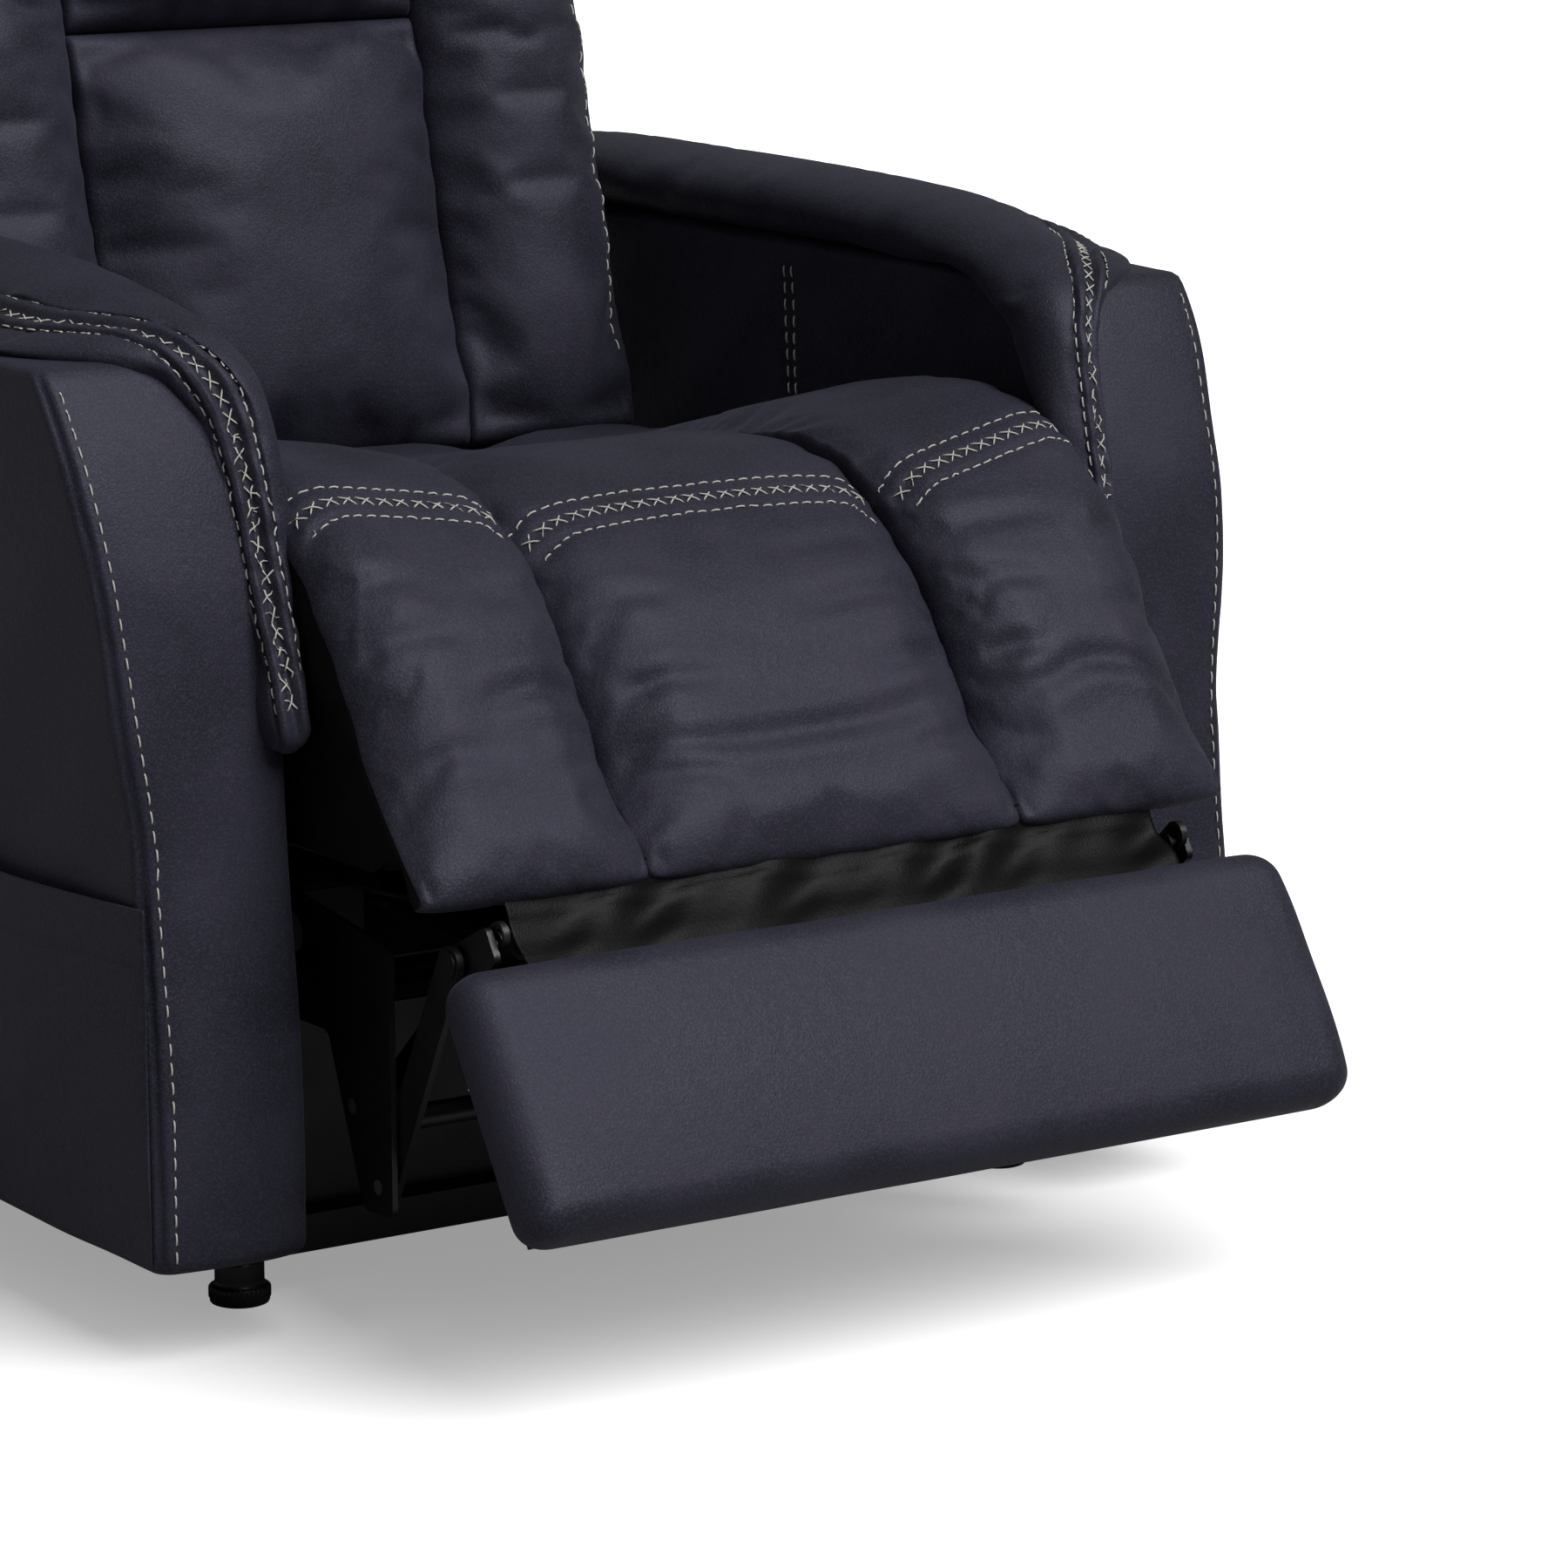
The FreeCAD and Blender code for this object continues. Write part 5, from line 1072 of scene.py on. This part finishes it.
# Handset
# A slim moulded case with four sprung push buttons, up and down for the lift and for the back. It stands in
# the side pocket.
dress(moulded("handset_plastic", (0.022, 0.023, 0.025), 0.42), "handset_case")
button_rubber = moulded("button_rubber", (0.16, 0.17, 0.18), 0.6, 0.00003)
dress(button_rubber, "lift_button", "lower_button", "recline_button", "upright_button")

# Rear panel
# A flat board covered with the same cloth, folded over its edges and stapled behind. It closes the chair's
# back between the arms.
dress(suede, "rear_panel")


# Back
# A wooden frame with a lumbar cushion, a head cushion and two side cushions beside them, and a flat cover
# over the outside. The whole back turns on its hinge behind the seat.
BACK_LEAN = math.radians(14.5)
BACK_FOOT = 528
BACK_FOOT_HIGH = 492
BACK_HALF = 284
BACK_TALL = 607
BACK_DEEP = 188.5
SEAM_DEEP = 26
REAR_DEEP = 121


def on_back(up, deep):
    """A point of the back: up its face from the foot, deep behind it."""
    return (BACK_FOOT + up * math.sin(BACK_LEAN) + deep * math.cos(BACK_LEAN),
            BACK_FOOT_HIGH + up * math.cos(BACK_LEAN) - deep * math.sin(BACK_LEAN))


def back_cushion(label, low_x, high_x, low, tall, bulge, seed, node):
    """One cushion, crowned by bulge. Its seams lie SEAM_DEEP and its rear REAR_DEEP behind its face."""
    def shape(u, v, w):
        wide = 0.6 * (0.5 - 0.5 * np.cos(np.pi * u)) + 0.4 * u
        s = np.abs(2 * wide - 1)
        t = np.abs(2 * v - 1)
        crown = np.sqrt(np.clip(1 - s ** 2.6, 0, 1)) * np.sqrt(np.clip(1 - t ** 5, 0, 1))
        face = SEAM_DEEP - (SEAM_DEEP + bulge) * crown
        back, high = on_back(low + tall * v, REAR_DEEP + (face - REAR_DEEP) * w)
        return np.column_stack([low_x + (high_x - low_x) * wide, back, high])

    counts = (max(16, int((high_x - low_x) / 8)), int(tall / 8), 8)
    places, faces, shares = stuffed_block(counts, shape)
    piece = build(label, places, faces, suede, "back")
    keep_shares(piece, shares)
    u, v, w = shares.T
    edge = np.minimum(u, 1 - u)
    end = np.minimum(v, 1 - v)
    hold = np.where(w < 0.8, 1.0, 1 - ramp(np.minimum(edge / 0.03, end / 0.02), 0, 1))
    swell(piece, hold, 0.04, 0.022)
    refine(piece)
    u, v, w = shares_of(piece).T
    billow(piece, 1.4, (2, 3, 9), seed, w * ramp(np.minimum(v, 1 - v), 0, 0.1))
    places = places_of(piece)
    places[:, 0] = np.clip(places[:, 0], low_x / 1000, high_x / 1000)
    move_to(piece, places)
    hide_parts(node)
    return piece


back_cushion("back_lumbar", -141.85, 141.85, -16, 315.7, 4, 41, "back_lumbar_cushion")
back_cushion("back_head", -141.85, 141.85, 300.3, 311.7, 14, 42, "back_head_cushion")
back_side_left = back_cushion("back_side_left", 142.15, BACK_HALF, -16, 628, 2, 43,
                              "back_side_cushion_left")
back_side_right = back_cushion("back_side_right", -BACK_HALF, -142.15, -16, 628, 2, 44,
                               "back_side_cushion_right")
for way, piece in ((1, back_side_left), (-1, back_side_right)):
    edge = [(way * (BACK_HALF - 10), *on_back(up, 12)) for up in (40, 120, 220, 320, 420, 520, 580)]
    groove(piece, Seam(skin_of(piece), edge), 0, 0.9, 3)
    thread = Thread()
    thread.running(Seam(skin_of(piece), edge), 0, LONG_PITCH, LONG_STITCH)
    thread.piece(piece.name + "_thread", "back")


def cover_shape(u, v, w):
    """The outside cover wraps the back's rear, both sides and top, nine millimetres thick. It hangs 92
    millimetres below the back's foot, and reaches 66 forward over its sides and top."""
    places = []
    hang, forward, corner = 92, 66, 10.0
    for share, up_share, through in zip(u, v, w):
        wall = 9 * (1 - through)
        across = (2 * share - 1) * (BACK_HALF + forward)
        up = -hang + up_share * (hang + BACK_TALL + forward)
        side_run = max(0.0, abs(across) - BACK_HALF)
        top_run = max(0.0, up - BACK_TALL)
        deep = BACK_DEEP - max(side_run, top_run)
        flat = max(-BACK_HALF, min(BACK_HALF, across))
        inset = math.hypot(max(0, corner - (BACK_DEEP - deep)), max(0, abs(flat) - BACK_HALF + corner))
        if inset > corner:
            shrink = corner / inset
            flat = math.copysign(BACK_HALF - corner + (abs(flat) - BACK_HALF + corner) * shrink, flat)
            deep = BACK_DEEP - corner + (corner - (BACK_DEEP - deep)) * shrink
        back, high = on_back(min(BACK_TALL, up), deep)
        inward_x = -wall * (flat / BACK_HALF) ** 9 if abs(flat) > 200 else 0
        rear_wall = wall if deep > 150 else 0
        back -= rear_wall * math.cos(BACK_LEAN)
        high += rear_wall * math.sin(BACK_LEAN)
        if top_run > 0 or up > 600:
            back -= wall * math.sin(BACK_LEAN) * 0.9
            high -= wall * math.cos(BACK_LEAN) * 0.9
        places.append((flat + inward_x, back, high))
    return np.array(places)


cover_places, cover_faces = stuffed_block((140, 150, 1), cover_shape)[:2]
outside = build("back_outside_cover", cover_places, cover_faces, suede, "back")
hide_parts("back_shell")

# Footrest
# A plywood board on two brackets with one smooth stuffed pad, pulled tight round its edges. Its face's middle
# stands at REST_BACK and REST_HIGH. REST_HALF gives half of its width, length and thickness.
REST_TILT = math.radians(32.5)
REST_BACK = -219
REST_HIGH = 204.5
REST_HALF = np.array([306, 90, 23])
REST_ROUND = 21


def on_footrest(along, out):
    """A point of the footrest: along runs down its face from the middle, out stands off the face."""
    return (REST_BACK - along * math.sin(REST_TILT) - out * math.cos(REST_TILT),
            REST_HIGH - along * math.cos(REST_TILT) + out * math.sin(REST_TILT))


def foot_shape(u, v, w):
    wide = 0.25 * (0.5 - 0.5 * np.cos(np.pi * u)) + 0.75 * u
    along = 0.4 * (0.5 - 0.5 * np.cos(np.pi * v)) + 0.6 * v
    half_wide, half_long, half_thick = REST_HALF
    cube = np.column_stack([2 * wide - 1, 2 * along - 1, 2 * w - 1]) * REST_HALF
    room = REST_HALF - REST_ROUND
    inner = np.clip(cube, -room, room)
    edge = cube - inner
    size = np.linalg.norm(edge, axis=1, keepdims=True)
    side, down, through = (inner + edge / np.maximum(size, 1e-6) * np.minimum(size, REST_ROUND)).T
    bulge = np.clip(1 - np.abs(side / half_wide) ** 5, 0, 1)
    bulge *= np.clip(1 - np.abs(down / half_long) ** 2.2, 0, 1)
    out = through - half_thick + 9 * bulge * np.clip(w * 2 - 1, 0, 1)
    fuller = np.interp(side, [-half_wide, -200, 120, half_wide], [-3, 0, 0, 15])
    fuller += np.interp(side, [120, half_wide], [0, 6]) * np.clip(1 - (down / half_long) ** 2, 0, 1)
    back, high = on_footrest(down - np.interp(down, [20, half_long], [0, 4]), out)
    return np.column_stack([side + fuller, back, high])


foot_places, foot_faces, foot_shares = stuffed_block((96, 34, 10), foot_shape)
foot_pad = build("footrest_cushion", foot_places, foot_faces, suede, "footrest")
keep_shares(foot_pad, foot_shares)
refine(foot_pad)
billow(foot_pad, 0.5, (4, 5, 5), 61, np.clip(shares_of(foot_pad)[:, 2] * 1.5, 0, 1))
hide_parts("footrest_pad")

# Footrest flap
# Thin black lining cloth, gathered on both edges to this width in millimetres, that hides the gap between the
# seat's nose and the footrest. It falls 58 millimetres along its line.
FLAP_WIDE = 500
flap_line = line_through([(-121.5, 317), (-129, 300), (-140, 285), (-152, 275), (-159, 267)])


def flap_shape(u, v, w):
    side = -FLAP_WIDE / 2 + FLAP_WIDE * u
    line = flap_line(v)
    loose = np.sin(np.pi * np.clip(v, 0, 1)) ** 0.7
    waves = (np.sin(u * 34 + v * 5.4 + 1.1 * np.sin(u * 9)) + 0.6 * np.sin(u * 57 + v * 7.2 + 2)
             + 0.5 * np.sin(u * 15 + v * 4 + 1))
    push = 2.4 * waves * loose - 1.5 * loose + 1.2 * np.exp(-((v - 0.36) / 0.05) ** 2)
    return np.column_stack([side, line[:, 0] - 0.62 * push, line[:, 1] + 0.75 * push + 0.8 * (w - 0.5)])


flap_places, flap_faces = stuffed_block((220, 22, 1), flap_shape)[:2]
flap = build("footrest_lining", flap_places, flap_faces, lining.material, "chassis")
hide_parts("footrest_flap")
